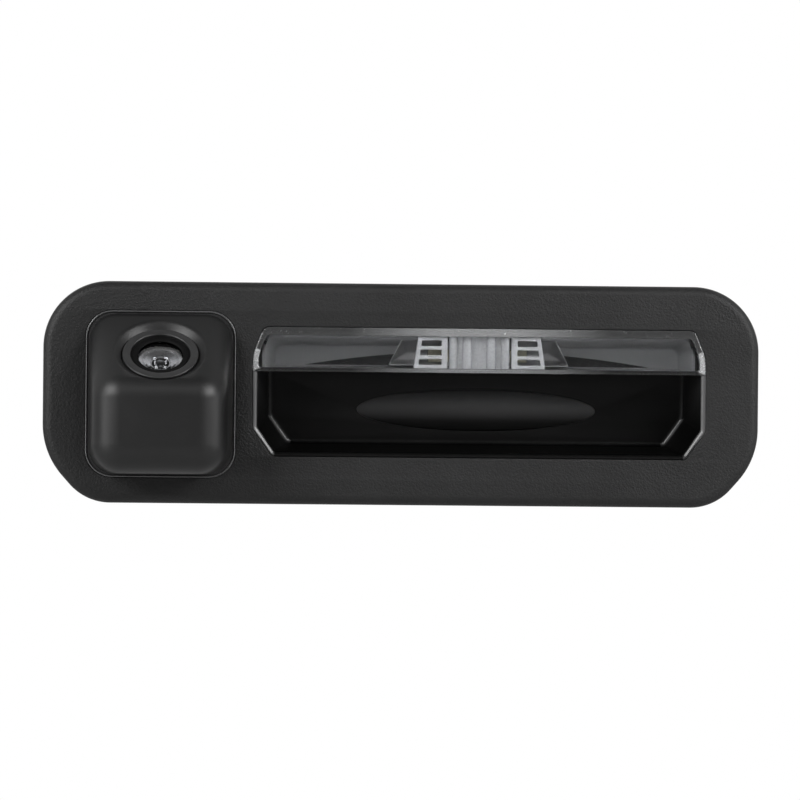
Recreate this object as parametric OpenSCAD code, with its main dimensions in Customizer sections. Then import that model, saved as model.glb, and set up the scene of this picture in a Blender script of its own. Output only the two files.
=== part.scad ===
// Tailgate release handle with a built-in reversing camera and a plate lamp.
// X runs along the handle, Z is up and -Y is the side that a person sees.
// The origin is the centre of the panel cut-out, in the plane of the panel.

/* [Bezel] */
// Length of the bezel along X
bezel_w = 165; // [140:1:200]
// Height of the bezel along Z
bezel_h = 51; // [50:0.5:62]
// Thickness of the bezel
bezel_t = 4; // [3.6:0.1:6]
// Radius of the rounded front edge
edge_r = 2.2; // [0.5:0.1:2.4]
// Radius of the two upper corners
upper_corner_r = 15.2; // [10:0.1:20]
// Length of the slanted lower corners along X
lower_cut_w = 10; // [6:0.5:12]
// Length of the slanted lower corners along Z
lower_cut_h = 11.3; // [6:0.1:13]
// How far the bezel laps over the panel all round
panel_lap = 6; // [5:0.5:7]
// Thickness of the foam gasket behind the bezel
gasket_t = 1.5; // [1:0.1:3]

/* [Housing] */
// Depth of the housing behind the panel
housing_depth = 23.6; // [23.6:0.1:34]
// Wall of the housing
housing_wall = 2; // [1.6:0.1:2.4]
// Thickness of the rear cover
cover_t = 2.2; // [2:0.1:3]
// Thickness of the seal under the rear cover
cover_seal_t = 0.4; // [0.3:0.1:1]

/* [Camera hood] */
// Width of the hood at its base
hood_w = 34.5; // [33:0.1:42]
// Height of the hood at its base
hood_h = 38.3; // [37:0.1:46]
// How far the hood's middle sits below the bezel's middle
hood_drop = 0.4; // [0:0.1:1]
// Distance from the bezel's end to the hood
hood_margin = 9.8; // [9:0.1:12]
// How far the hood stands out of the bezel
hood_reach = 21; // [19:0.5:25.2]
// Radius of the hood's rounded edges
hood_edge_r = 5; // [3.5:0.1:5.5]
// Radius of the hood's corners at its base
hood_corner_r = 6.2; // [3:0.1:7]
// Wall of the hood
hood_wall = 1.8; // [1.5:0.1:2.2]
// Angle between the lens axis and straight ahead
lens_tilt = 50; // [44:1:52]
// Height of the lens centre on the hood's slope
lens_z = 9.5; // [8.5:0.1:10]

/* [Camera] */
// Radius of the camera barrel
barrel_r = 8.7; // [7.2:0.05:9.3]
// Wall of the camera barrel
barrel_wall = 1; // [0.8:0.1:1.2]
// Width of the baffle round the front lens
baffle_w = 1.7; // [1.4:0.1:2]
// Radius of the bore in the camera's cable gland
gland_bore_r = 1.6; // [1.2:0.1:2]

/* [Finger pocket] */
// Gap between the hood and the pocket
pocket_gap = 3.7; // [3.5:0.1:8]
// Distance from the pocket to the bezel's other end
pocket_margin = 12.2; // [10:0.1:14]
// Height of the pocket's opening
pocket_h = 30.1; // [29:0.1:33]
// Height of the opening's middle above the bezel's middle
pocket_z = 0.45; // [0:0.05:1]
// Depth of the pocket below the bezel's face
pocket_depth = 15; // [13:0.5:18]
// Wall of the pocket
pocket_wall = 1.8; // [1.4:0.1:2.2]
// Width of the rim that shows round the pocket
rim_w = 1.1; // [0.8:0.1:1.4]

/* [Plate lamp] */
// Height of the lens strip
lens_h = 10.3; // [9:0.1:11]
// Thickness of the lens strip's walls
lens_wall = 1.4; // [1.1:0.1:1.6]
// Distance between the moulded ribs of the lens
flute_pitch = 3.1; // [2.6:0.1:3.4]

/* [Release button] */
// Length of the oval button
button_w = 55.6; // [46:0.1:67]
// Height of the oval button
button_h = 9.5; // [7.9:0.1:10.5]
// Height of the button's middle above the bezel's middle
button_z = -3.5; // [-4:0.1:-3]
// How far the button goes in
button_travel = 1.2; // [0.8:0.1:1.3]

/* [Connections] */
// Radius of the grommet's bore
grommet_bore_r = 2.3; // [1.9:0.1:2.8]
// Number of pins in the connector
pin_count = 4; // [3:1:5]
// Distance between the pins
pin_pitch = 2.54; // [2:0.01:3]

/* [Hidden] */
$fn = 48;
eps = 0.05;
arc_step = 6;

// Clearances between pieces
slip = 0.15;      // a piece that drops into an opening
play = 0.35;      // round the moving button
pin_play = 0.06;  // round the guide pins
touch = 0.05;     // between the button and the switch before it is pressed

// Planes along Y
front = -(gasket_t + bezel_t);
bezel_back = -gasket_t;
flange_plate_t = 1.4;
plate_front = bezel_back - flange_plate_t;
web_back = bezel_back + 2;
lip_t = 1;
seal_t = 0.4;
lip_front = plate_front - lip_t;
seal_front = lip_front - seal_t;
tub_back = housing_depth;
cover_front = tub_back + cover_seal_t;
cover_back = cover_front + cover_t;

// Outline of the bezel: x, z and corner radius of each corner, right half from the bottom up
bezel_outline = both_sides([
    [bezel_w / 2 - lower_cut_w, -bezel_h / 2, 12.5],
    [bezel_w / 2, -bezel_h / 2 + lower_cut_h, 18],
    [bezel_w / 2, bezel_h / 2, upper_corner_r]]);
tub_outline = inset(bezel_outline, panel_lap);
tub_inner = inset(bezel_outline, panel_lap + housing_wall);
tub_half_w = bezel_w / 2 - panel_lap;
tub_half_h = bezel_h / 2 - panel_lap;

// Camera hood
hood_x = -bezel_w / 2 + hood_margin + hood_w / 2;
hood_draft = 1.75;
hood_low = -hood_h / 2 - hood_drop;
hood_top = hood_h / 2 - hood_drop;
hood_base = [for (p = rectangle(hood_w, hood_h, hood_corner_r)) [p.x, p.y - hood_drop, p.z]];
hood_step = 1;
hood_lip_w = 1.5;
slope_y = front - hood_step;
slope_z = hood_top;
hood_front = front - hood_reach;
edge_plane = hood_front + hood_edge_r;
slope_end = slope_z - (slope_y - edge_plane) / tan(lens_tilt);
lens_y = slope_y + (lens_z - slope_z) * sin(lens_tilt) / cos(lens_tilt);

// Camera, along the lens axis from the hood's slope inwards
dish_r = barrel_r + 2;
collar_wall = 1.9;
dish_depth = 1.3;
ring_top = -0.8;
ring_inner_r = barrel_r - 1.9;
aperture_r = ring_inner_r - baffle_w;
ring_back = -2.4;
baffle_front = ring_top - 0.4;
baffle_back = baffle_front - 0.6;
front_lens_apex = -0.9;
front_lens_r = aperture_r + 0.9;
element_back = front_lens_apex - 2;
cone_back = element_back - 1.3;
cone_rim_t = 0.5;
second_lens_r = 2.4;
cell_r = ring_inner_r - 0.1;
cell_back = -12;
m12_r = cell_r - 0.9;
m12_back = -16.6;
holder_front = -13;
holder_base = -17.2;
sensor_plane = -19.4;
board_t = 1.2;
barrel_inner_r = barrel_r - barrel_wall;
board_r = barrel_inner_r - 0.2;
cone_outer_r = cell_r - 0.9;
cone_mouth_r = cone_outer_r - 1.5;
holder_side = board_r * sqrt(2) - 0.3;
sensor_side = holder_side - 3.6;
filter_side = sensor_side - 0.6;
filter_t = 0.4;
cavity_top = holder_base - 0.2;
power_plane = -22.6;
barrel_back = -24.6;
cap_seal_t = 0.3;
cap_front = barrel_back - cap_seal_t;
cap_t = 2.4;
gland_back = -33;
collar_depth = 5;
barrel_seal_t = 1;
bracket_r = barrel_r + 1.9;
bracket_half_w = bracket_r + 5.6;

// Finger pocket: the bezel's opening, the pocket's outside at the mouth, and its inside
pocket_left = hood_x + hood_w / 2 + pocket_gap;
pocket_right = bezel_w / 2 - pocket_margin;
pocket_x = (pocket_left + pocket_right) / 2;
pocket_half_w = (pocket_right - pocket_left) / 2;
pocket_top = pocket_z + pocket_h / 2;
pocket_low = pocket_z - pocket_h / 2;
pocket_opening = pocket_corners(pocket_half_w, pocket_low, pocket_top);
mouth_outer = inset(pocket_opening, slip);
mouth_inner = inset(pocket_opening, slip + rim_w);
side_draft = 2.8;
top_draft = 1.2;
bottom_draft = 1.85;
mouth_wall = slip + rim_w;
floor_y = front + pocket_depth;
floor_back = floor_y + pocket_wall;
floor_inner = pocket_corners(pocket_half_w - mouth_wall - side_draft, pocket_low + mouth_wall + bottom_draft,
    pocket_top - mouth_wall - top_draft);
floor_outer = inset(floor_inner, -pocket_wall);
pocket_lip_w = 1.8;

// Plate lamp
lens_top = pocket_top - slip;
lens_low = lens_top - lens_h;
lens_front = front + 0.2;
lens_depth = 4;
lens_back = lens_front + lens_depth;
lamp_lens_outline = both_sides([[mouth_outer[1].x, lens_low, 0.3], mouth_outer[2], mouth_outer[3]]);
tray_half_w = pocket_half_w - mouth_wall - side_draft - slip;
tray_top = pocket_top - mouth_wall - top_draft - slip;
tray_low = lens_low + 0.1;
tray_wall = 1.2;
wing_step = 2;
bay_margin = 0.3;
arch_rise = 3.7;
arch_end = 8.3;
tray_back = floor_y - 0.4;
tray_outline = upper_corners(tray_half_w, tray_low, tray_top);
reflector_front = lens_back + 1.2;
reflector_back = tray_back - tray_wall - board_t - 0.2;
reflector_low_half = 21;
reflector_top_half = 17.8;
reflector_wall = 0.8;
ladder_in = 7.2;
ladder_out = 15.4;
lamp_z = (tray_low + tray_top) / 2;
terminal_x = 6;
terminal_z = tray_top - 2.6;
lamp_screw_x = min(34, tray_half_w - 5);

// Release button and switch
button_proud = 2.2;
button_gap = 0.1;
button_lip = 1.8;
button_lip_front = floor_back + button_gap;
button_lip_back = button_lip_front + 1.2;
carrier_back = button_lip_back + 1.2;
guide_pin_x = 20;
guide_pin_r = 1.5;
pusher_end = carrier_back + 1.5;
spring_r = 2.3;
spring_wire_r = 0.22;
spring_turns = 3;
guide_front = carrier_back + 3.2;
guide_t = 1.6;
guide_back = guide_front + guide_t;
guide_boss_x = max(button_w / 2 + button_lip + 3.6, 33);
guide_half_w = guide_boss_x + 3.2;
guide_half_h = 6.5;
guide_boss_z = 3.2;
switch_front = pusher_end + touch + button_travel;
plunger_tip = pusher_end + touch;
switch_depth = 4.2;
board_front = switch_front + switch_depth;
board_back = board_front + board_t;
board_low = button_z - guide_half_h;
board_top = terminal_z + 2.5;
board_half_w = guide_half_w - 1;
board_post_x = 26;
board_post_z = 3.6;

// Connector, grommet and vent in the rear cover
socket_x = pocket_x + 24;
socket_z = 3;
socket_w = (pin_count - 1) * pin_pitch + 9.4;
socket_h = 8;
socket_wall = 1.5;
socket_depth = 9;
pin_size = 0.64;
pin_end = cover_back + 4.4;
grommet_z = -2;
grommet_r = 5;
vent_x = pocket_left + 12;
vent_z = 6;
vent_r = 3;

// Screws: the pillars stand in the corners of the housing and along its long walls
pillar_r = 3.2;
pillar_merge = 0.4;
screw_r = 1.5;
upper_corner = [tub_half_w - housing_wall, tub_half_h - housing_wall]
    - [1, 1] * tub_inner[2].z + [1, 1] * (tub_inner[2].z - pillar_r + pillar_merge) / sqrt(2);
lower_corner = lower_cut_middle(tub_inner, pillar_r - pillar_merge);
wall_row_z = tub_half_h - housing_wall - pillar_r + pillar_merge;
tall_pillars = [[-upper_corner.x, upper_corner.y], [-lower_corner.x, lower_corner.y],
    [pocket_left - 6, wall_row_z], [pocket_left - 6, -wall_row_z]];
short_pillars = [upper_corner, lower_corner, [pocket_x, wall_row_z], [pocket_x, -wall_row_z]];
short_pillar_front = floor_back + 1.8;
flange_screw_inset = (panel_lap + 1.5) / 2;
flange_screw_arc = upper_corner_r + (flange_screw_inset - upper_corner_r) / sqrt(2);
flange_screw_places = [for (side = [-1, 1]) each [
    [side * (bezel_w / 2 - flange_screw_arc), bezel_h / 2 - flange_screw_arc],
    [side * (bezel_w / 2 - flange_screw_inset), -5],
    [side * bezel_w / 6, bezel_h / 2 - flange_screw_inset],
    [side * bezel_w / 6, -bezel_h / 2 + flange_screw_inset]]];
clip_x = [pocket_left + 20, pocket_right - 20];
clip_w = 10;
clip_t = 0.5;
clip_reach = 2.4;

// ---- outlines -------------------------------------------------------------------------------

// The right half of an outline, followed by its mirror image
function both_sides(points) =
    concat(points, [for (i = [len(points) - 1 : -1 : 0]) [-points[i].x, points[i].y, points[i].z]]);

function rectangle(w, h, r) = both_sides([[w / 2, -h / 2, r], [w / 2, h / 2, r]]);

// The pocket's outline: slanted lower corners, and upper corners that lean in
function pocket_corners(half_w, low, top) = both_sides([
    [half_w - 4.6, low, 1.6], [half_w, low + 6.5, 2.5], [half_w, top - 6.5, 9], [half_w - 2.6, top, 2]]);

// The upper part of the same outline
function upper_corners(half_w, low, top) = both_sides([
    [half_w, low, 0.3], [half_w, top - 6.5, 2], [half_w - 2.6, top, 2]]);

function unit(v) = v / norm(v);
function left_of(v) = [-v.y, v.x];
function flat(p) = [p.x, p.y];

// The outline moved inwards by g, with its corner radii; a negative g moves it outwards
function inset(points, g) = [for (i = [0 : len(points) - 1])
    let (n = len(points),
        here = flat(points[i]),
        a = left_of(unit(here - flat(points[(i + n - 1) % n]))),
        b = left_of(unit(flat(points[(i + 1) % n]) - here)),
        moved = here + g * (a + b) / (1 + a * b))
    [moved.x, moved.y, max(points[i].z - g, 0.2)]];

// The outline's points, with an arc of the given radius at each corner
function rounded(points) = [for (i = [0 : len(points) - 1])
    let (n = len(points),
        here = flat(points[i]),
        u = unit(flat(points[(i + n - 1) % n]) - here),
        v = unit(flat(points[(i + 1) % n]) - here),
        half = acos(u * v) / 2,
        centre = here + unit(u + v) * points[i].z / sin(half),
        from = here + u * points[i].z / tan(half) - centre,
        to = here + v * points[i].z / tan(half) - centre,
        start = atan2(from.y, from.x),
        turn = (atan2(to.y, to.x) - start + 540) % 360 - 180,
        steps = max(1, round(abs(turn) / arc_step)))
    for (k = [0 : steps]) let (angle = start + turn * k / steps)
        centre + points[i].z * [cos(angle), sin(angle)]];

// The middle of the slanted lower right edge of an outline, moved inwards
function lower_cut_middle(points, inwards) =
    (flat(points[0]) + flat(points[1])) / 2 + left_of(unit(flat(points[1]) - flat(points[0]))) * inwards;

function ellipse(w, h) = [for (a = [0 : 6 : 354]) [w / 2 * cos(a), h / 2 * sin(a)]];

module outline(points) {
    polygon(rounded(points));
}

// A flat shape in X and Z, as a slab between two planes along Y
module slab(y0, y1) {
    rotate([90, 0, 0]) translate([0, 0, -y1]) linear_extrude(height = y1 - y0) children();
}

// A round bar along Y
module rod(x, z, r, y0, y1) {
    translate([x, y0, z]) rotate([-90, 0, 0]) cylinder(r = r, h = y1 - y0);
}

// A box given by its middle in X and Z and its two planes along Y
module block(x, z, w, h, y0, y1) {
    translate([x - w / 2, y0, z - h / 2]) cube([w, y1 - y0, h]);
}

// A solid through several sections, each a plane along Y and an outline with as many points
module loft(sections) {
    rings = [for (s = sections) [for (p = s[1]) [p.x, s[0], p.y]]];
    n = len(rings[0]);
    last = len(rings) - 1;
    sides = [for (i = [0 : last - 1], k = [0 : n - 1])
        let (a = i * n + k, b = i * n + (k + 1) % n)
            each [[a, b, b + n], [a, b + n, a + n]]];
    caps = [[for (k = [n - 1 : -1 : 0]) k], [for (k = [0 : n - 1]) last * n + k]];
    polyhedron(points = [for (r = rings) each r], faces = concat(caps, sides));
}

// ---- screws ---------------------------------------------------------------------------------

// A pan-head screw that points along -Y, with its head on the plane y
module pan_screw(x, z, y, r, length, head_r, head_t) {
    difference() {
        union() {
            rod(x, z, r, y - length, y + 0.2);
            rod(x, z, head_r, y, y + head_t);
        }
        cross_recess(x, z, head_r * 0.62, y + head_t * 0.4, y + head_t + 1);
    }
}

module cross_recess(x, z, reach, y0, y1) {
    for (a = [45, 135])
        translate([x, 0, z]) rotate([0, a, 0])
            translate([-reach, y0, -0.25]) cube([2 * reach, y1 - y0, 0.5]);
}

// A countersunk screw that points along -Y, flush with the plane y
module flush_screw(x, z, y, r, length, head_r, head_t) {
    difference() {
        union() {
            rod(x, z, r, y - length, y - head_t + 0.2);
            translate([x, y - head_t, z]) rotate([-90, 0, 0]) cylinder(r1 = r, r2 = head_r, h = head_t);
        }
        cross_recess(x, z, head_r * 0.6, y - head_t * 0.7, y + 1);
    }
}

// ---- bezel and housing ----------------------------------------------------------------------

module front_bezel() {
    color([0.11, 0.11, 0.115]) difference() {
        loft(concat(
            [for (a = [90 : -15 : 0])
                [front + edge_r * (1 - sin(a)), rounded(inset(bezel_outline, edge_r * (1 - cos(a))))]],
            [[bezel_back, rounded(bezel_outline)]]));
        slab(plate_front, bezel_back + 1) outline(inset(bezel_outline, 1.5));
        translate([hood_x, 0, 0]) {
            slab(front - 1, bezel_back) outline(inset(hood_base, -slip));
            slab(seal_front, bezel_back) outline(inset(hood_base, -hood_lip_w - slip));
        }
        translate([pocket_x, 0, 0]) {
            slab(front - 1, bezel_back) outline(pocket_opening);
            slab(seal_front, bezel_back) outline(inset(mouth_outer, -pocket_lip_w - slip));
        }
        for (p = flange_screw_places) rod(p.x, p.y, 0.9, plate_front - 1.8, bezel_back);
    }
}

module flange_screws() {
    color([0.62, 0.63, 0.65]) for (p = flange_screw_places)
        flush_screw(p.x, p.y, bezel_back, 0.9, 3, 1.8, 0.9);
}

module panel_gasket() {
    color([0.2, 0.2, 0.21]) slab(bezel_back, 0) difference() {
        outline(inset(bezel_outline, 1.3));
        outline(inset(tub_outline, -slip));
    }
}

module rear_housing() {
    color([0.14, 0.14, 0.15]) difference() {
        union() {
            slab(plate_front, bezel_back) outline(inset(bezel_outline, 1.5 + slip));
            slab(plate_front, web_back) outline(tub_outline);
            slab(plate_front, tub_back) difference() {
                outline(tub_outline);
                outline(tub_inner);
            }
            for (p = tall_pillars) rod(p.x, p.y, pillar_r, plate_front, cover_front);
            for (p = short_pillars) rod(p.x, p.y, pillar_r, short_pillar_front, cover_front);
        }
        block(hood_x, -4.75, 2 * (bracket_r + 0.4), 23.5, plate_front - 1, web_back + 1);
        translate([pocket_x, 0, 0]) slab(plate_front - 1, web_back + 1) outline(inset(mouth_outer, -slip));
        for (p = concat(tall_pillars, short_pillars))
            rod(p.x, p.y, screw_r, cover_front - 9, cover_front + 1);
        for (p = flange_screw_places) flange_countersink(p.x, p.y);
        for (p = bracket_screw_places()) rod(p.x, p.y, 1, plate_front + 0.4, web_back + 1);
        for (x = clip_x, side = [-1, 1]) clip_rivet_hole(x, side);
    }
}

module flange_countersink(x, z) {
    rod(x, z, 1, plate_front - 1, bezel_back + 1);
    translate([x, bezel_back - 0.9, z]) rotate([-90, 0, 0]) cylinder(r1 = 1, r2 = 1.9, h = 0.9);
}

function bracket_screw_places() = [for (x = [-1, 1], z = [-4, 6]) [hood_x + x * (bracket_r + 3.2), z]];

// ---- spring clips ---------------------------------------------------------------------------

clip_y0 = 3;
clip_y1 = tub_back - 1.6;
clip_rivet_y = clip_y1 - 3.2;

function clip_line(out) = [[clip_y1, out], [clip_y1 - 6, out], [clip_y0 + 3.6, clip_reach + out],
    [clip_y0 + 2.6, clip_reach + out], [clip_y0, 0.9 + out]];

module clip_rivet_hole(x, side) {
    translate([x, clip_rivet_y, side * tub_half_h]) cylinder(r = 1.1, h = 3 * housing_wall, center = true);
}

// One leaf, its foot flat on the long wall and its nose standing out behind the panel
module retaining_clip(x, side) {
    leaf = concat(clip_line(0), [for (i = [4 : -1 : 0]) clip_line(clip_t)[i]]);
    translate([x - clip_w / 2, 0, 0]) mirror([0, 0, side < 0 ? 1 : 0]) translate([0, 0, tub_half_h])
        difference() {
            rotate([90, 0, 90]) linear_extrude(height = clip_w) polygon(leaf);
            translate([clip_w / 2, clip_rivet_y, -1]) cylinder(r = 1.1, h = 3);
            translate([clip_w / 2 - 1.5, clip_y0 + 7, -1]) cube([3, 5, 5]);
        }
}

module retaining_clips() {
    color([0.72, 0.73, 0.75]) for (x = clip_x, side = [-1, 1]) retaining_clip(x, side);
}

module clip_rivets() {
    color([0.6, 0.6, 0.62]) for (x = clip_x, side = [-1, 1])
        mirror([0, 0, side < 0 ? 1 : 0]) translate([x, clip_rivet_y, tub_half_h]) {
            translate([0, 0, -housing_wall]) cylinder(r = 1.1, h = housing_wall + clip_t + 0.2);
            translate([0, 0, clip_t]) cylinder(r1 = 2.1, r2 = 1.5, h = 0.8);
        }
}

// ---- rear cover -----------------------------------------------------------------------------

module rear_cover() {
    color([0.14, 0.14, 0.15]) difference() {
        union() {
            slab(cover_front, cover_back) outline(tub_outline);
            block(socket_x, socket_z, socket_w + 2 * socket_wall, socket_h + 2 * socket_wall,
                cover_front, cover_back + socket_depth);
            slab(cover_back - 0.5, cover_back + 0.8) difference() {
                outline(inset(tub_outline, 8.2));
                outline(inset(tub_outline, 9.4));
            }
            for (x = [-34 : 9 : 4]) block(pocket_x + x, -1, 1.2, 19, cover_back - 0.5, cover_back + 0.8);
        }
        block(socket_x, socket_z, socket_w, socket_h, cover_back, cover_back + socket_depth + 1);
        block(socket_x, socket_z + socket_h / 2, 4, 2, cover_back + 3, cover_back + socket_depth + 1);
        for (i = [0 : pin_count - 1])
            block(pin_x(i), socket_z, pin_size + 0.2, pin_size + 0.2, cover_front - 1, cover_back + 1);
        for (p = concat(tall_pillars, short_pillars)) {
            rod(p.x, p.y, screw_r + 0.2, cover_front - 1, cover_back + 1);
            translate([p.x, cover_back - 1.5, p.y]) rotate([-90, 0, 0])
                cylinder(r1 = screw_r + 0.2, r2 = screw_r + 1.7 + 0.02, h = 1.52);
        }
        rod(hood_x, grommet_z, grommet_r, cover_front - 1, cover_back + 2);
        rod(hood_x, grommet_z, grommet_r + 1.8, cover_back, cover_back + 3);
        rod(vent_x, vent_z, vent_r, cover_front - 1, cover_back + 1);
        rod(vent_x, vent_z, vent_r + 1.2, cover_back, cover_back + 3);
    }
}

module cover_seal() {
    color([0.1, 0.1, 0.1]) slab(tub_back, cover_front) difference() {
        outline(tub_outline);
        outline(tub_inner);
        for (p = concat(tall_pillars, short_pillars)) translate(p) circle(r = pillar_r + slip);
    }
}

module cover_screws() {
    color([0.66, 0.67, 0.69]) for (p = concat(tall_pillars, short_pillars))
        flush_screw(p.x, p.y, cover_back, screw_r, 9.5, screw_r + 1.5, 1.5);
}

// The groove of the grommet grips the edge of the cover's hole
module cable_grommet() {
    groove_front = -0.02;
    color([0.09, 0.09, 0.09]) translate([hood_x, cover_front, grommet_z]) rotate([-90, 0, 0])
        rotate_extrude() polygon([[grommet_bore_r, -1.6], [grommet_r + 1.2, -1.6],
            [grommet_r + 1.2, groove_front], [grommet_r, groove_front], [grommet_r, cover_t + 0.02],
            [grommet_r + 1.5, cover_t + 0.02], [grommet_r + 1.5, cover_t + 1.4],
            [grommet_bore_r + 1.6, cover_t + 5.2], [grommet_bore_r, cover_t + 5.2]]);
}

module vent_plug() {
    color([0.75, 0.75, 0.73]) {
        rod(vent_x, vent_z, vent_r, cover_front, cover_back + 0.1);
        rod(vent_x, vent_z, vent_r + 1, cover_back, cover_back + 0.9);
    }
}

// ---- camera hood ----------------------------------------------------------------------------

// The hood's outline in the plane y, with its walls moved in by g. Its front edge is a round of
// hood_edge_r, its sides lean in by hood_draft, and its top follows the slope that carries the lens.
function hood_section(y, g) =
    let (r = hood_edge_r - g,
        lean = hood_draft * min(1, max(0, (slope_y - y) / (slope_y - edge_plane))),
        round = sqrt(max(0, r * r - pow(min(0, y - edge_plane), 2))),
        side = hood_w / 2 - lean - hood_edge_r,
        low = hood_low + lean * 0.6 + hood_edge_r,
        slope = slope_z - max(0, slope_y - y) / tan(lens_tilt) - g / sin(lens_tilt),
        past_slope = y < edge_plane - r * cos(lens_tilt),
        top = min(hood_top - g, past_slope ? slope_end - hood_edge_r / sin(lens_tilt) + round : slope),
        corner = y < edge_plane ? max(0.3, round)
            : hood_corner_r - g + (hood_edge_r - hood_corner_r) * lean / hood_draft,
        reach = y < edge_plane ? round : r)
    rounded(both_sides([[side + reach, low - reach, corner], [side + reach, top, corner]]));

module hood_body(g) {
    r = hood_edge_r - g;
    turns = [for (k = [4 : -1 : 1]) 90 - lens_tilt + k * lens_tilt / 4, 90 - lens_tilt, 45 - lens_tilt / 2];
    planes = concat([for (a = turns) edge_plane - r * sin(a)],
        [edge_plane, (edge_plane + slope_y) / 2, slope_y, bezel_back - 1]);
    loft([for (y = planes) [y, hood_section(y, g)]]);
}

// Turns from the lens frame, with +z out of the lens, to the part's frame
module lens_frame() {
    translate([hood_x, lens_y, lens_z]) rotate([90 - lens_tilt, 0, 0]) children();
}

module camera_hood() {
    color([0.12, 0.12, 0.125]) difference() {
        union() {
            translate([hood_x, 0, 0]) difference() {
                union() {
                    hood_body(0);
                    slab(lip_front, plate_front) outline(inset(hood_base, -hood_lip_w));
                }
                hood_body(hood_wall);
                slab(slope_y + hood_wall * 1.5 + 0.5, 3) outline(inset(hood_base, hood_wall));
                slab(plate_front, 3) square(100, center = true);
            }
            lens_frame() translate([0, 0, -collar_depth])
                cylinder(r = barrel_r + collar_wall, h = collar_depth - 0.9);
        }
        lens_frame() {
            translate([0, 0, -collar_depth - 1]) cylinder(r = barrel_r + slip, h = collar_depth + 6);
            translate([0, 0, -dish_depth]) cylinder(r1 = barrel_r + slip, r2 = dish_r, h = dish_depth);
            cylinder(r = dish_r, h = 4);
        }
    }
}

module hood_seal() {
    color([0.08, 0.08, 0.08]) translate([hood_x, 0, 0]) slab(seal_front, lip_front) difference() {
        outline(inset(hood_base, -hood_lip_w));
        outline(inset(hood_base, -slip));
    }
}

module barrel_seal() {
    color([0.08, 0.08, 0.08]) lens_frame()
        ring(barrel_r, barrel_r + 1.6, -collar_depth - barrel_seal_t, -collar_depth);
}

// ---- camera, in the lens frame --------------------------------------------------------------

module ring(r0, r1, z0, z1) {
    translate([0, 0, z0]) difference() {
        cylinder(r = r1, h = z1 - z0);
        translate([0, 0, -1]) cylinder(r = r0, h = z1 - z0 + 2);
    }
}

module disc(r, z0, z1) {
    translate([0, 0, z0]) cylinder(r = r, h = z1 - z0);
}

module camera_barrel() {
    color([0.1, 0.1, 0.1]) lens_frame() ring(barrel_inner_r, barrel_r, barrel_back, ring_back);
}

module front_ring() {
    color([0.2, 0.2, 0.2]) lens_frame() {
        ring(ring_inner_r, barrel_r, ring_back, ring_top);
        ring(ring_inner_r, barrel_inner_r, ring_back - 1.8, ring_back + 0.3);
    }
}

module lens_baffle() {
    color([0.05, 0.05, 0.05]) lens_frame() rotate_extrude()
        polygon([[ring_inner_r, baffle_front], [ring_inner_r, baffle_back], [aperture_r, baffle_back],
            [aperture_r, baffle_front - 0.5], [aperture_r + 0.3, baffle_front - 0.2]]);
}

module front_element() {
    front_r = 14;
    hollow = 1.2;
    flat_rim = 0.545;
    mouth_r = front_lens_r - flat_rim;
    back_r = (mouth_r * mouth_r + hollow * hollow) / (2 * hollow);
    color([0.75, 0.85, 0.9, 0.4]) lens_frame() difference() {
        intersection() {
            disc(front_lens_r, element_back, front_lens_apex + 1);
            translate([0, 0, front_lens_apex - front_r]) sphere(r = front_r);
        }
        translate([0, 0, element_back + hollow - back_r]) sphere(r = back_r);
    }
}

// The bright cone that shows through the front lens
module inner_cone() {
    color([0.8, 0.81, 0.82]) lens_frame() rotate_extrude()
        polygon([[cone_mouth_r, element_back], [cone_outer_r, element_back],
            [cone_outer_r, element_back - cone_rim_t], [cone_mouth_r - 0.1, element_back - cone_rim_t],
            [2.5, cone_back + 0.3], [2.5, cone_back], [2, cone_back], [2, cone_back + 0.4]]);
}

module second_element() {
    dome_r = 2.6;
    color([0.7, 0.8, 0.9, 0.5]) lens_frame() {
        disc(second_lens_r, cell_back, cone_back - 0.7);
        intersection() {
            disc(second_lens_r, cone_back - 0.8, element_back);
            translate([0, 0, cone_back - 1.7]) sphere(r = dome_r);
        }
    }
}

module aperture_stop() {
    color([0.05, 0.05, 0.05]) lens_frame() ring(0.8, 2.9, -12.4, -12);
}

module rear_element() {
    color([0.7, 0.8, 0.9, 0.5]) lens_frame() intersection() {
        disc(3, -15.4, -12.8);
        translate([0, 0, -18]) sphere(r = 5.2);
    }
}

module lens_cell() {
    color([0.07, 0.07, 0.07]) lens_frame() difference() {
        union() {
            disc(cell_r, cell_back, baffle_back);
            disc(m12_r, m12_back, cell_back + 0.5);
        }
        disc(front_lens_r + 0.02, element_back, baffle_back + 1);
        disc(cone_outer_r, element_back - cone_rim_t, element_back + 1);
        translate([0, 0, cone_back])
            cylinder(r1 = 2.52, r2 = cone_mouth_r - 0.08, h = element_back - cone_rim_t - cone_back + 0.02);
        disc(second_lens_r + 0.02, cell_back - 0.5, cone_back + 1);
        disc(3.02, m12_back - 1, -12);
    }
}

module lens_holder() {
    color([0.06, 0.06, 0.06]) lens_frame() difference() {
        union() {
            disc(m12_r + 1, holder_base, holder_front);
            square_slab(holder_side, sensor_plane, holder_base + 0.1);
        }
        disc(m12_r, m12_back, holder_front + 1);
        disc(filter_side / 2 - 0.4, cavity_top - 1, m12_back + 1);
        square_slab(holder_side - 1.6, sensor_plane - 1, cavity_top);
    }
}

module square_slab(side, z0, z1) {
    translate([-side / 2, -side / 2, z0]) cube([side, side, z1 - z0]);
}

module ir_filter() {
    color([0.8, 0.45, 0.5, 0.5]) lens_frame() square_slab(filter_side, cavity_top - filter_t, cavity_top);
}

module image_sensor() {
    color([0.12, 0.12, 0.14]) lens_frame() square_slab(sensor_side, sensor_plane, sensor_plane + 1);
}

module sensor_board() {
    color([0.05, 0.3, 0.15]) lens_frame() disc(board_r, sensor_plane - board_t, sensor_plane);
}

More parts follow.
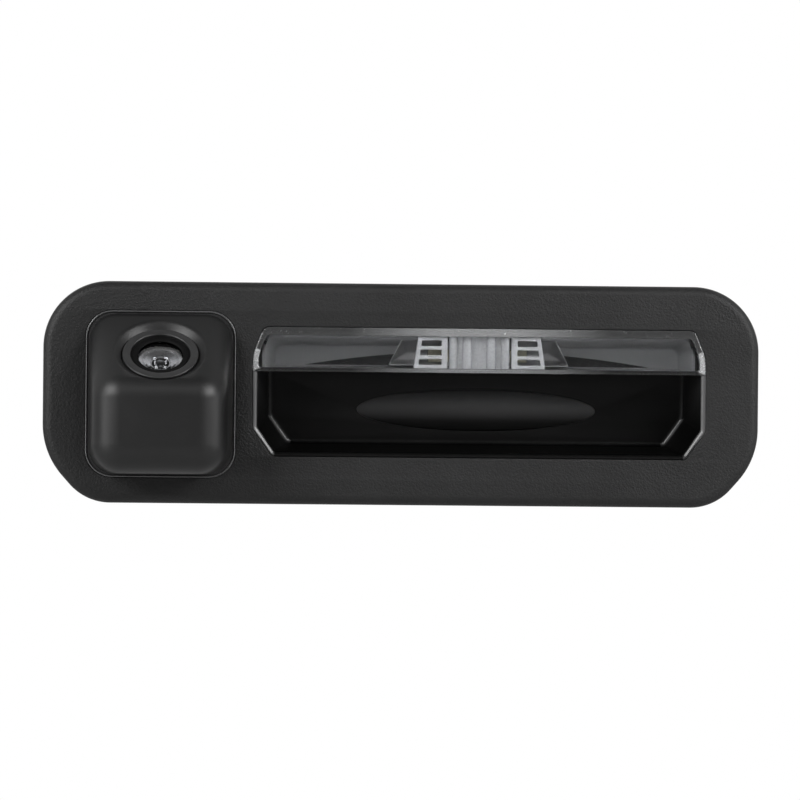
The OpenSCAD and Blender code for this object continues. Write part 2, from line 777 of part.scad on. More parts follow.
module board_spacers() {
    color([0.8, 0.7, 0.35]) lens_frame() for (a = [30 : 120 : 270])
        rotate([0, 0, a]) translate([board_r - 1.6, 0, power_plane])
            cylinder(r = 0.8, h = sensor_plane - board_t - power_plane);
}

module power_board() {
    color([0.05, 0.3, 0.15]) lens_frame() disc(board_r, power_plane - board_t, power_plane);
}

module power_board_parts() {
    color([0.1, 0.1, 0.1]) lens_frame() for (p = [[0, 2.4, 3], [-2.2, -1.6, 2], [2.2, -1.6, 2]])
        translate([p.x, p.y, 0]) square_slab(p.z, power_plane, power_plane + 1);
}

module cap_seal() {
    color([0.08, 0.08, 0.08]) lens_frame() ring(barrel_inner_r, barrel_r, cap_front, barrel_back);
}

module camera_cap() {
    color([0.1, 0.1, 0.1]) lens_frame() difference() {
        union() {
            disc(barrel_r, cap_front - cap_t, cap_front);
            ring(barrel_inner_r - 1, barrel_inner_r - 0.05, cap_front - 0.5, barrel_back + 0.6);
        }
        disc(3.2, cap_front - cap_t - 1, cap_front + 1);
    }
}

// The cable gland, a moulded rubber boot in the cap
module camera_gland() {
    color([0.07, 0.07, 0.07]) lens_frame() rotate_extrude()
        polygon([[gland_bore_r, gland_back], [gland_bore_r + 0.9, gland_back], [3.2, cap_front - cap_t - 1.6],
            [4.6, cap_front - cap_t - 1.6], [4.6, cap_front - cap_t], [3.2, cap_front - cap_t],
            [3.2, cap_front], [gland_bore_r, cap_front]]);
}

module camera_bracket() {
    color([0.16, 0.16, 0.17]) difference() {
        union() {
            block(hood_x, 1, 2 * bracket_half_w, 17, web_back, web_back + 1.5);
            lens_frame() disc(bracket_r, -23, -15);
            for (side = [-1, 1])
                block(hood_x + side * (bracket_r - 1), -3, 2, 10, -9, web_back + 1);
        }
        lens_frame() disc(barrel_r + eps, -60, 0);
        block(hood_x, -20, 2 * bracket_half_w, 20, web_back + 4, web_back + 20);
        for (p = bracket_screw_places()) rod(p.x, p.y, 1.2, web_back - 1, web_back + 3);
    }
}

module bracket_screws() {
    color([0.66, 0.67, 0.69]) for (p = bracket_screw_places())
        pan_screw(p.x, p.y, web_back + 1.5, 1, 4, 1.9, 1.2);
}

// ---- finger pocket --------------------------------------------------------------------------

module finger_pocket() {
    color([0.07, 0.07, 0.075]) difference() {
        translate([pocket_x, 0, 0]) difference() {
            union() {
                loft([[front, rounded(mouth_outer)], [floor_back, rounded(floor_outer)]]);
                slab(lip_front, plate_front) outline(inset(mouth_outer, -pocket_lip_w));
                for (x = [-guide_boss_x, guide_boss_x], z = [-guide_boss_z, guide_boss_z])
                    rod(x, button_z + z, 2.4, floor_back - 0.5, guide_front);
            }
            loft([[front - 0.6, rounded(mouth_inner)], [front, rounded(mouth_inner)],
                [floor_y, rounded(floor_inner)]]);
            slab(front - 1, lens_back) outline(inset(lamp_lens_outline, -eps));
            slab(floor_y - 1, floor_back + 1) translate([0, button_z])
                polygon(ellipse(button_w + 2 * play, button_h + 2 * play));
            for (x = [-guide_boss_x, guide_boss_x], z = [-guide_boss_z, guide_boss_z])
                rod(x, button_z + z, 1, guide_front - 4, guide_front + 1);
            for (x = [-terminal_x, terminal_x]) block(x, terminal_z, 2.2, 1.8, floor_y - 1, floor_back + 1);
            for (x = [-lamp_screw_x, lamp_screw_x]) rod(x, lamp_z, 1.3, floor_y - 1, floor_back + 1);
        }
    }
}

module pocket_seal() {
    color([0.08, 0.08, 0.08]) translate([pocket_x, 0, 0]) slab(seal_front, lip_front) difference() {
        outline(inset(mouth_outer, -pocket_lip_w));
        outline(inset(mouth_outer, -slip));
    }
}

// ---- plate lamp -----------------------------------------------------------------------------

// A clear strip with a rim, four half-round ribs and two ladder-shaped lugs
module lamp_lens() {
    face_back = lens_front + lens_wall;
    rib_z = (lens_low + lens_top) / 2;
    rib_h = lens_h - 2 * lens_wall + 2 * eps;
    color([0.85, 0.88, 0.9, 0.35]) translate([pocket_x, 0, 0]) {
        difference() {
            slab(lens_front, lens_back) outline(lamp_lens_outline);
            slab(face_back, lens_back + 1) outline(inset(lamp_lens_outline, lens_wall));
        }
        for (i = [-1.5, -0.5, 0.5, 1.5])
            translate([i * flute_pitch * 4 / 3, face_back, rib_z])
                intersection() {
                    cylinder(r = 1.1, h = rib_h, center = true);
                    translate([-2, -0.4, -rib_h / 2]) cube([4, 2, rib_h]);
                }
        for (side = [-1, 1]) ladder(side, face_back - eps, rib_z, rib_h);
    }
}

module ladder(side, y0, z, h) {
    depth = lens_depth - lens_wall - 0.2;
    rail_w = 0.8;
    for (x = [ladder_in, ladder_out - rail_w])
        translate([side > 0 ? x : -x - rail_w, y0, z - h / 2]) cube([rail_w, depth, h]);
    for (k = [0 : 3])
        translate([side > 0 ? ladder_in : -ladder_out, y0, z - h / 2 + 0.2 + k * (h - 0.4 - rail_w) / 3])
            cube([ladder_out - ladder_in, depth, rail_w]);
}

// The bay that holds the reflector, moved in by g
function trapezium(g) = both_sides([[reflector_low_half - g, tray_low + tray_wall + bay_margin + g, 0],
    [reflector_top_half - g, tray_top - tray_wall - bay_margin - g, 0]]);

// A flat arch on a straight chord
function arch(half_w, rise, low) =
    let (r = (half_w * half_w + rise * rise) / (2 * rise), a = asin(half_w / r))
    [for (t = [-12 : 12]) [r * sin(a * t / 12), low + rise - r + r * cos(a * t / 12)]];

module flat_points(points) {
    polygon([for (p = points) flat(p)]);
}

module lamp_tray() {
    color([0.3, 0.3, 0.31]) translate([pocket_x, 0, 0]) difference() {
        union() {
            slab(lens_back, tray_back) outline(tray_outline);
            for (x = [-lamp_screw_x, lamp_screw_x]) rod(x, lamp_z, 2.6, tray_back - 0.5, floor_y);
        }
        slab(lens_back - 1, tray_back - tray_wall - wing_step) outline(inset(tray_outline, tray_wall));
        slab(lens_back - 1, tray_back - tray_wall) {
            polygon(arch(tray_half_w - arch_end, arch_rise, tray_low + tray_wall + bay_margin - 0.1));
            flat_points(trapezium(0));
        }
        for (x = [-terminal_x, terminal_x]) block(x, terminal_z, 1.8, 1.4, tray_back - 3, tray_back + 1);
        for (x = [-lamp_screw_x, lamp_screw_x]) rod(x, lamp_z, 1, tray_back - 2.6, floor_y + 1);
    }
}

module lamp_reflector() {
    color([0.82, 0.83, 0.84]) translate([pocket_x, 0, 0]) difference() {
        slab(reflector_front, reflector_back) flat_points(trapezium(0.05));
        slab(reflector_front - 1, reflector_back - reflector_wall)
            flat_points(trapezium(0.05 + reflector_wall));
        for (x = [-1, 0, 1]) block(x * 9, lamp_z, 5.4, 3.4, reflector_back - 2, reflector_back + 1);
    }
}

module lamp_board() {
    color([0.05, 0.3, 0.15]) translate([pocket_x, 0, 0]) difference() {
        slab(reflector_back, reflector_back + board_t) flat_points(trapezium(0.3));
        for (x = [-terminal_x, terminal_x])
            block(x, terminal_z, 1.4, 1, reflector_back - 1, reflector_back + board_t + 1);
    }
}

module lamp_leds() {
    color([0.95, 0.85, 0.35]) for (x = [-1, 0, 1])
        block(pocket_x + x * 9, lamp_z, 5, 3, reflector_back - 0.9, reflector_back);
}

module lamp_resistors() {
    color([0.1, 0.1, 0.1]) for (x = [-14, 14])
        block(pocket_x + x, lamp_z - 0.6, 2, 1.2, reflector_back + board_t, reflector_back + board_t + 0.15);
}

module lamp_terminals() {
    color([0.8, 0.65, 0.3]) for (x = [-terminal_x, terminal_x])
        block(pocket_x + x, terminal_z, 1.2, 0.8, reflector_back, board_back + 0.8);
}

module lamp_screws() {
    color([0.66, 0.67, 0.69]) for (x = [-lamp_screw_x, lamp_screw_x])
        pan_screw(pocket_x + x, lamp_z, floor_back, 1, 4.6, 1.9, 1.2);
}

// ---- release button and switch --------------------------------------------------------------

module release_button() {
    color([0.1, 0.1, 0.1]) translate([pocket_x, 0, button_z]) {
        loft(concat(
            [for (a = [80 : -16 : 0])
                [floor_y - button_proud * sin(a), ellipse(button_w * cos(a), button_h * cos(a))]],
            [[button_lip_front + eps, ellipse(button_w, button_h)]]));
        slab(button_lip_front, button_lip_back)
            polygon(ellipse(button_w + 2 * button_lip, button_h + 2 * button_lip));
    }
}

// The plate behind the button, with its two guide pins and the pusher
module button_carrier() {
    color([0.75, 0.75, 0.72]) translate([pocket_x, 0, button_z]) {
        slab(button_lip_back, carrier_back) outline(rectangle(button_w - 6, button_h - 2, 2));
        for (x = [-guide_pin_x, guide_pin_x]) rod(x, 0, guide_pin_r, carrier_back - 0.5, guide_back + 0.6);
        rod(0, 0, 1.6, carrier_back - 0.5, pusher_end);
    }
}

// A ring of points round one place on the spring's helix
function wire_ring(t, length) =
    let (angle = 360 * spring_turns * t, y = spring_wire_r + t * (length - 2 * spring_wire_r))
    [for (k = [0 : 5]) let (r = spring_r + spring_wire_r * cos(60 * k))
        [r * cos(angle), y + spring_wire_r * sin(60 * k), r * sin(angle)]];

module spring(length) {
    rings = 48;
    points = [for (i = [0 : rings]) each wire_ring(i / rings, length)];
    sides = [for (i = [0 : rings - 1], k = [0 : 5])
        [6 * i + k, 6 * i + (k + 1) % 6, 6 * (i + 1) + (k + 1) % 6, 6 * (i + 1) + k]];
    end = [for (k = [0 : 5]) 6 * rings + k];
    polyhedron(points = points, faces = concat([[5, 4, 3, 2, 1, 0]], sides, [end]));
}

module return_springs() {
    color([0.78, 0.79, 0.8]) for (x = [-guide_pin_x, guide_pin_x])
        translate([pocket_x + x, carrier_back, button_z]) spring(guide_front - carrier_back);
}

module button_guide() {
    color([0.16, 0.16, 0.17]) translate([pocket_x, 0, button_z]) difference() {
        union() {
            slab(guide_front, guide_back) outline(rectangle(2 * guide_half_w, 2 * guide_half_h, 2));
            for (x = [-board_post_x, board_post_x], z = [-board_post_z, board_post_z])
                rod(x, z, 2.2, guide_back - 0.5, board_front);
        }
        for (x = [-guide_pin_x, guide_pin_x])
            rod(x, 0, guide_pin_r + pin_play, guide_front - 1, guide_back + 1);
        block(0, 0, 13.2, 6.2, guide_front - 1, guide_back + 1);
        for (x = [-guide_boss_x, guide_boss_x], z = [-guide_boss_z, guide_boss_z])
            rod(x, z, 1.2, guide_front - 1, guide_back + 1);
        for (x = [-board_post_x, board_post_x], z = [-board_post_z, board_post_z])
            rod(x, z, 0.9, guide_front + 0.6, board_front + 1);
    }
}

module guide_screws() {
    color([0.66, 0.67, 0.69]) for (x = [-guide_boss_x, guide_boss_x], z = [-guide_boss_z, guide_boss_z])
        pan_screw(pocket_x + x, button_z + z, guide_back, 1, 5, 1.9, 1);
}

module switch_case() {
    color([0.05, 0.05, 0.05]) translate([pocket_x, 0, button_z]) difference() {
        block(0, 0, 12.8, 5.8, switch_front, board_front);
        block(0, 0, 3, 2, switch_front - 1, board_front - 1);
    }
}

module switch_plunger() {
    color([0.75, 0.2, 0.15]) block(pocket_x, button_z, 2.8, 1.8, plunger_tip, switch_front + 1.6);
}

module switch_board() {
    height = board_top - board_low;
    color([0.05, 0.3, 0.15]) translate([pocket_x, 0, 0]) difference() {
        block(0, board_low + height / 2, 2 * board_half_w, height, board_front, board_back);
        for (x = [-terminal_x, terminal_x]) block(x, terminal_z, 1.4, 1, board_front - 1, board_back + 1);
        for (x = [-board_post_x, board_post_x], z = [-board_post_z, board_post_z])
            rod(x, button_z + z, 1.1, board_front - 1, board_back + 1);
        for (i = [0 : pin_count - 1])
            block(pin_x(i) - pocket_x, socket_z, pin_size + 0.2, pin_size + 0.2,
                board_front - 1, board_back + 1);
        for (side = [-1, 1]) rod(0, side * wall_row_z, pillar_r + 0.4, board_front - 1, board_back + 1);
    }
}

module board_screws() {
    color([0.66, 0.67, 0.69]) for (x = [-board_post_x, board_post_x], z = [-3.6, 3.6])
        pan_screw(pocket_x + x, button_z + z, board_back, 0.9, 3.6, 1.7, 0.8);
}

module board_parts() {
    color([0.1, 0.1, 0.11]) translate([pocket_x, 0, 0]) {
        block(-14, 6, 6, 5, board_front - 1.5, board_front);
        block(14, 6, 4, 3, board_front - 1.2, board_front);
        block(-21, 5, 3, 2.5, board_back, board_back + 1);
    }
}

function pin_x(i) = socket_x + (i - (pin_count - 1) / 2) * pin_pitch;

module connector_header() {
    color([0.08, 0.08, 0.08]) difference() {
        block(socket_x, socket_z, pin_count * pin_pitch, 2.4, board_back, cover_front - 0.1);
        for (i = [0 : pin_count - 1])
            block(pin_x(i), socket_z, pin_size, pin_size, board_back - 1, cover_front + 1);
    }
}

module connector_pins() {
    color([0.8, 0.65, 0.3]) for (i = [0 : pin_count - 1])
        block(pin_x(i), socket_z, pin_size, pin_size, board_front - 0.6, pin_end);
}

front_bezel();
panel_gasket();
rear_housing();
flange_screws();
retaining_clips();
clip_rivets();
rear_cover();
cover_seal();
cover_screws();
cable_grommet();
vent_plug();
camera_hood();
hood_seal();
barrel_seal();
camera_barrel();
front_ring();
lens_baffle();
front_element();
inner_cone();
second_element();
aperture_stop();
rear_element();
lens_cell();
lens_holder();
ir_filter();
image_sensor();
sensor_board();
board_spacers();
power_board();
power_board_parts();
cap_seal();
camera_cap();
camera_gland();
camera_bracket();
bracket_screws();
finger_pocket();
pocket_seal();
lamp_lens();
lamp_tray();
lamp_reflector();
lamp_board();
lamp_leds();
lamp_resistors();
lamp_terminals();
lamp_screws();
release_button();
button_carrier();
return_springs();
button_guide();
guide_screws();
switch_case();
switch_plunger();
switch_board();
board_screws();
board_parts();
connector_header();
connector_pins();
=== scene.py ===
import math

import bmesh
import bpy
from mathutils import Matrix, Quaternion, Vector
from mathutils.geometry import tessellate_polygon


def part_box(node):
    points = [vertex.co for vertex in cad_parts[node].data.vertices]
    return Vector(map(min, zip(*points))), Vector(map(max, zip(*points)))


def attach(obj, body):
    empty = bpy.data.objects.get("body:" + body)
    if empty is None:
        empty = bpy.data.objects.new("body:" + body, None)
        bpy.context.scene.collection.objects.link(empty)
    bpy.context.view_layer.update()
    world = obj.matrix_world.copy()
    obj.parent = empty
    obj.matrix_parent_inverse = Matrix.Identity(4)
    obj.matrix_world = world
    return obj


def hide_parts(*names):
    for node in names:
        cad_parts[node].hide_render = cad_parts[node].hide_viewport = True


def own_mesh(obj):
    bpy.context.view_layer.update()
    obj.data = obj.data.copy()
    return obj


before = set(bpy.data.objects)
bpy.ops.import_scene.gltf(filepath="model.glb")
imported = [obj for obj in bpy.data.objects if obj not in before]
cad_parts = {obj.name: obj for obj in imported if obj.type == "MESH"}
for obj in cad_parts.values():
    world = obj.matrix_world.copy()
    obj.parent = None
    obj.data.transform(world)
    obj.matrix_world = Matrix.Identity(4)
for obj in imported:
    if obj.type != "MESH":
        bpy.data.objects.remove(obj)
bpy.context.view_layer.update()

# Everything below is in millimetres in the part's own frame, and MM turns it into Blender's metres.
MM = 0.001
# A radius below this is taken as a point on the axis of a turned shape
ON_AXIS = 1e-6


def node_box(node):
    """Lowest and highest corner of a CAD node, in millimetres."""
    low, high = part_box(node)
    return [v / MM for v in low], [v / MM for v in high]


# ---- places, from the frame ----

bezel_low, bezel_high = node_box("front_bezel")
BEZEL_W = bezel_high[0] - bezel_low[0]
BEZEL_H = bezel_high[2] - bezel_low[2]
FRONT = bezel_low[1]
BEZEL_BACK = bezel_high[1]
PLATE_FRONT = node_box("rear_housing")[0][1]
SEAL_FRONT = node_box("hood_seal")[0][1]
EDGE_R = 2.2
UPPER_CORNER_R = 15.2
LOWER_CUT = (10, 11.3)
SLIP = 0.15

hood_low, hood_high = node_box("camera_hood")
HOOD_LIP = 1.5
HOOD_X = (hood_low[0] + hood_high[0]) / 2
HOOD_W = hood_high[0] - hood_low[0] - 2 * HOOD_LIP
HOOD_LOW = hood_low[2] + HOOD_LIP
HOOD_TOP = hood_high[2] - HOOD_LIP
HOOD_TIP = hood_low[1]
HOOD_EDGE_R = 6.9
HOOD_CORNER_R = 6.2
HOOD_DRAFT = 1.75
HOOD_WALL = 1.8
SLOPE_Y = FRONT - 1
SLOPE_Z = HOOD_TOP
LENS_TILT = math.radians(50)
LENS_Z = 9.5
LENS_Y = SLOPE_Y + (LENS_Z - SLOPE_Z) * math.tan(LENS_TILT)
LENS_FRAME = Matrix.Translation((HOOD_X, LENS_Y, LENS_Z)) @ Matrix.Rotation(math.pi / 2 - LENS_TILT, 4, "X")

POCKET_LIP = 1.8
pocket_low, pocket_high = node_box("finger_pocket")
POCKET_X = (pocket_low[0] + pocket_high[0]) / 2
POCKET_HALF = (pocket_high[0] - pocket_low[0]) / 2 - POCKET_LIP + SLIP
POCKET_TOP = pocket_high[2] - POCKET_LIP + SLIP
POCKET_LOW = pocket_low[2] + POCKET_LIP - SLIP
RIM_W = 1.1
POCKET_WALL = 1.8
FLOOR_Y = FRONT + 15
FLOOR_BACK = FLOOR_Y + POCKET_WALL
SIDE_DRAFT = 2.8
TOP_DRAFT = 1.2
BOTTOM_DRAFT = 1.85

lens_low, lens_high = node_box("lamp_lens")
LENS_FRONT = lens_low[1]
LENS_BACK = lens_high[1]
LAMP_LOW = lens_low[2]
LAMP_TOP = lens_high[2]
TRAY_BACK = node_box("lamp_tray")[1][1] - 0.4
TRAY_WALL = 1.2
WING_Y = TRAY_BACK - TRAY_WALL - 1.6

button_low, button_high = node_box("release_button")
BUTTON_LIP = 1.8
BUTTON_W = button_high[0] - button_low[0] - 2 * BUTTON_LIP
BUTTON_H = button_high[2] - button_low[2] - 2 * BUTTON_LIP
BUTTON_Z = (button_low[2] + button_high[2]) / 2
BUTTON_PROUD = FLOOR_Y - button_low[1]
BUTTON_LIP_Y = button_high[1] - 1.2
BUTTON_BACK = button_high[1]
BUTTON_PLAY = 0.06
GUIDE_BOSS_X = 33
GUIDE_FRONT = node_box("button_guide")[0][1]


# ---- outlines: lists of (x, z, corner radius), anticlockwise as the front is seen ----

def both_sides(points):
    return points + [(-x, z, r) for x, z, r in reversed(points)]


def edges_at(points, i):
    """Point i of an outline, the directions of the edges before and after it, and their inward normals."""
    here = Vector(points[i][:2])
    before = (here - Vector(points[i - 1][:2])).normalized()
    after = (Vector(points[(i + 1) % len(points)][:2]) - here).normalized()
    return here, before, after, Vector((-before.y, before.x)), Vector((-after.y, after.x))


def inset(points, gap):
    """The outline moved inwards by gap, corner radii with it."""
    moved = []
    for i, (x, z, r) in enumerate(points):
        here, before, after, a, b = edges_at(points, i)
        spot = here + gap * (a + b) / (1 + a.dot(b))
        moved.append((spot.x, spot.y, max(r - gap, 0.2)))
    return moved


def inset_edges(points, gaps, radii):
    """The outline with each edge moved inwards by its own gap; gap i belongs to the edge after point i."""
    moved = []
    for i, r in enumerate(radii):
        here, before, after, a, b = edges_at(points, i)
        turn = before.x * after.y - before.y * after.x
        along = (gaps[i] - gaps[i - 1] * a.dot(b)) / turn
        spot = here + gaps[i - 1] * a - along * before
        moved.append((spot.x, spot.y, r))
    return moved


def rounded(points, step=3.0):
    """The outline as (x, z) points, with arcs at its corners and a point every step degrees."""
    line = []
    for i, (x, z, r) in enumerate(points):
        here = Vector((x, z))
        u = (Vector(points[i - 1][:2]) - here).normalized()
        v = (Vector(points[(i + 1) % len(points)][:2]) - here).normalized()
        half = u.angle(v) / 2
        centre = here + (u + v).normalized() * r / math.sin(half)
        start = here + u * r / math.tan(half) - centre
        end = here + v * r / math.tan(half) - centre
        angle = math.atan2(start.y, start.x)
        turn = (math.atan2(end.y, end.x) - angle + 3 * math.pi) % (2 * math.pi) - math.pi
        steps = max(1, round(abs(math.degrees(turn)) / step))
        for k in range(steps + 1):
            t = angle + turn * k / steps
            line.append((centre.x + r * math.cos(t), centre.y + r * math.sin(t)))
    return line


def ellipse(w, h, count=96):
    turns = [2 * math.pi * k / count for k in range(count)]
    return [(w / 2 * math.cos(t), h / 2 * math.sin(t)) for t in turns]


def shifted(line, x, z=0.0):
    return [(px + x, pz + z) for px, pz in line]


def between(line_a, line_b, t):
    return [(ax + (bx - ax) * t, az + (bz - az) * t) for (ax, az), (bx, bz) in zip(line_a, line_b)]


def pocket_corners(half, low, top):
    """The pocket's outline: cut lower corners and gently curved upper ends."""
    return both_sides([(half - 4.6, low, 1.6), (half, low + 6.5, 2.5),
                       (half, top - 6.5, 9), (half - 2.6, top, 2)])


BEZEL_OUTLINE = both_sides([
    (BEZEL_W / 2 - LOWER_CUT[0], -BEZEL_H / 2, 12.5),
    (BEZEL_W / 2, -BEZEL_H / 2 + LOWER_CUT[1], 18),
    (BEZEL_W / 2, BEZEL_H / 2, UPPER_CORNER_R)])
HOOD_BASE = both_sides([(HOOD_W / 2, HOOD_LOW, HOOD_CORNER_R), (HOOD_W / 2, HOOD_TOP, HOOD_CORNER_R)])
POCKET_OPENING = pocket_corners(POCKET_HALF, POCKET_LOW, POCKET_TOP)
MOUTH_OUTER = inset(POCKET_OPENING, SLIP)
FLOOR_INNER = pocket_corners(POCKET_HALF - SLIP - RIM_W - SIDE_DRAFT,
                             POCKET_LOW + SLIP + RIM_W + BOTTOM_DRAFT, POCKET_TOP - SLIP - RIM_W - TOP_DRAFT)
LAMP_OUTLINE = both_sides([(MOUTH_OUTER[1][0], LAMP_LOW, 0.3), MOUTH_OUTER[2], MOUTH_OUTER[3]])


# ---- mesh building ----

class Shell:
    """A mesh made of rings of vertices, quads between rings, and flat fills inside rings."""

    def __init__(self):
        self.bm = bmesh.new()

    def ring(self, y, line):
        return [self.bm.verts.new((x * MM, y * MM, z * MM)) for x, z in line]

    def loop(self, points):
        return [self.bm.verts.new(Vector(p) * MM) for p in points]

    def join(self, *rings, closed=True):
        for a, b in zip(rings, rings[1:]):
            for k in range(len(a) if closed else len(a) - 1):
                m = (k + 1) % len(a)
                self.bm.faces.new((a[k], a[m], b[m], b[k]))

    def solid(self, *rings):
        """A closed body through the rings, with both ends filled."""
        self.join(*rings)
        self.fill(rings[0])
        self.fill(rings[-1])

    def fill(self, *rings):
        """A flat fill inside the first ring and outside the others."""
        verts = [v for ring in rings for v in ring]
        for tri in tessellate_polygon([[v.co / MM for v in ring] for ring in rings]):
            corners = [verts[i] for i in tri]
            if len(set(corners)) == 3 and not self.bm.faces.get(corners):
                self.bm.faces.new(corners)

    def done(self, name, material, body="housing", slot=None, replaces=(), sharp=35, matrix=None):
        bmesh.ops.remove_doubles(self.bm, verts=self.bm.verts, dist=1e-7)
        bmesh.ops.recalc_face_normals(self.bm, faces=self.bm.faces)
        mesh = bpy.data.meshes.new(name)
        self.bm.to_mesh(mesh)
        self.bm.free()
        return piece(name, mesh, material, body, replaces, sharp, matrix)


def show(thing):
    bpy.context.scene.collection.objects.link(thing)


def in_frame(mesh, matrix=LENS_FRAME):
    scale = Matrix.Diagonal((MM, MM, MM, 1))
    mesh.transform(scale @ matrix @ scale.inverted())
    return mesh


def piece(name, mesh, material, body="housing", replaces=(), sharp=35, matrix=None):
    """Links a finished mesh as a piece that rides on a body."""
    if matrix is not None:
        in_frame(mesh, matrix)
    for polygon in mesh.polygons:
        polygon.use_smooth = True
    mesh.set_sharp_from_angle(angle=math.radians(sharp))
    mesh.materials.append(material)
    thing = bpy.data.objects.new(name, mesh)
    show(thing)
    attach(thing, body)
    if replaces:
        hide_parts(*replaces)
    return thing


def turned(profile, segments=128):
    """A shell turned about Z. profile is a closed loop of (radius, height), or runs from axis to axis."""
    shell = Shell()
    turns = [2 * math.pi * k / segments for k in range(segments)]
    rows = []
    for r, h in profile:
        if r < ON_AXIS:
            rows.append([shell.bm.verts.new((0, 0, h * MM))] * segments)
        else:
            rows.append([shell.bm.verts.new((r * MM * math.cos(t), r * MM * math.sin(t), h * MM))
                         for t in turns])
    open_ended = profile[0][0] < ON_AXIS and profile[-1][0] < ON_AXIS
    pairs = list(zip(rows, rows[1:])) + ([] if open_ended else [(rows[-1], rows[0])])
    for a, b in pairs:
        for k in range(segments):
            m = (k + 1) % segments
            corners = list(dict.fromkeys((a[k], a[m], b[m], b[k])))
            if len(corners) > 2:
                shell.bm.faces.new(corners)
    return shell


def lathe(name, profile, material, matrix=LENS_FRAME, segments=96, **facts):
    """A turned piece, on the lens axis unless a matrix says otherwise."""
    return turned(profile, segments).done(name, material, matrix=matrix, **facts)


def ring_profile(corners):
    """A closed turned profile from (radius, height, fillet) corners."""
    return rounded(corners, step=15)


def pocket_ring(shell, y, line):
    """A ring whose line is measured from the pocket's middle."""
    return shell.ring(y, shifted(line, POCKET_X))


def prism(shell, line, y0, y1):
    """Adds a closed slab between two planes along Y."""
    shell.solid(shell.ring(y0, line), shell.ring(y1, line))


def box_line(x0, x1, z0, z1, r=0.2):
    return rounded([(x1, z0, r), (x1, z1, r), (x0, z1, r), (x0, z0, r)], step=30)


def cut(thing, cutter_mesh, name):
    """Subtracts a mesh from a piece for good."""
    cutter = bpy.data.objects.new(name, cutter_mesh)
    show(cutter)
    modifier = thing.modifiers.new("cut", "BOOLEAN")
    modifier.operation = "DIFFERENCE"
    modifier.solver = "EXACT"
    modifier.object = cutter
    graph = bpy.context.evaluated_depsgraph_get()
    result = bpy.data.meshes.new_from_object(thing.evaluated_get(graph))
    thing.modifiers.remove(modifier)
    bpy.data.objects.remove(cutter)
    old = thing.data
    thing.data = result
    bpy.data.meshes.remove(old)
    for polygon in result.polygons:
        polygon.use_smooth = True
    result.set_sharp_from_angle(angle=math.radians(35))


def mesh_of(shell):
    bmesh.ops.recalc_face_normals(shell.bm, faces=shell.bm.faces)
    mesh = bpy.data.meshes.new("cutter")
    shell.bm.to_mesh(mesh)
    shell.bm.free()
    return mesh


# ---- materials ----

class Nodes:
    """A material's node tree, with short calls for the nodes used here."""

    def __init__(self, name):
        self.material = bpy.data.materials.new(name)
        self.material.use_nodes = True
        self.tree = self.material.node_tree
        self.shader = self.tree.nodes["Principled BSDF"]
        self.place = self.add("ShaderNodeTexCoord").outputs["Object"]

    def add(self, kind, **values):
        node = self.tree.nodes.new(kind)
        for key, value in values.items():
            setattr(node, key, value)
        return node

    def link(self, source, target):
        self.tree.links.new(source, target)

    def noise(self, size, detail=3.0, roughness=0.5, stretch=(1, 1, 1)):
        """Noise whose features are about size millimetres across."""
        mapping = self.add("ShaderNodeMapping")
        mapping.inputs["Scale"].default_value = stretch
        self.link(self.place, mapping.inputs["Vector"])
        node = self.add("ShaderNodeTexNoise")
        node.inputs["Scale"].default_value = 1 / (size * MM)
        node.inputs["Detail"].default_value = detail
        node.inputs["Roughness"].default_value = roughness
        self.link(mapping.outputs["Vector"], node.inputs["Vector"])
        return node.outputs["Fac"]

    def cells(self, size):
        node = self.add("ShaderNodeTexVoronoi", feature="SMOOTH_F1")
        node.inputs["Scale"].default_value = 1 / (size * MM)
        node.inputs["Smoothness"].default_value = 0.6
        self.link(self.place, node.inputs["Vector"])
        return node.outputs["Distance"]

    def spread(self, value, low, high, from_low=0.3, from_high=0.7):
        """A value from noise, stretched to low..high."""
        node = self.add("ShaderNodeMapRange")
        node.inputs["From Min"].default_value = from_low
        node.inputs["From Max"].default_value = from_high
        node.inputs["To Min"].default_value = low
        node.inputs["To Max"].default_value = high
        self.link(value, node.inputs["Value"])
        return node.outputs["Result"]

    def combine(self, a, b, operation="ADD"):
        node = self.add("ShaderNodeMath", operation=operation)
        self.link(a, node.inputs[0])
        if hasattr(b, "is_linked"):
            self.link(b, node.inputs[1])
        else:
            node.inputs[1].default_value = b
        return node.outputs[0]

    def colour(self, value, dark, light):
        """The base colour, from dark to light as value goes from 0 to 1."""
        node = self.add("ShaderNodeMix", data_type="RGBA")
        self.link(value, node.inputs["Factor"])
        node.inputs["A"].default_value = (*dark, 1)
        node.inputs["B"].default_value = (*light, 1)
        self.link(node.outputs["Result"], self.shader.inputs["Base Color"])

    def bump(self, height, depth, strength=1.0):
        """Raises the surface by up to depth millimetres where height is 1."""
        node = self.add("ShaderNodeBump")
        node.inputs["Strength"].default_value = strength
        node.inputs["Distance"].default_value = depth * MM
        self.link(height, node.inputs["Height"])
        self.link(node.outputs["Normal"], self.shader.inputs["Normal"])

    def fade(self, axis, dark_place, light_place, share):
        """A painted-shade factor that falls from 1 at the light place to share at the dark place, along an
        axis.
        """
        parts = self.add("ShaderNodeSeparateXYZ")
        self.link(self.place, parts.inputs["Vector"])
        return self.spread(parts.outputs[axis], share, 1, dark_place * MM, light_place * MM)

    def set(self, **values):
        for key, value in values.items():
            self.shader.inputs[key.replace("_", " ")].default_value = value


def grey(level):
    return (level, level, level * 1.02)


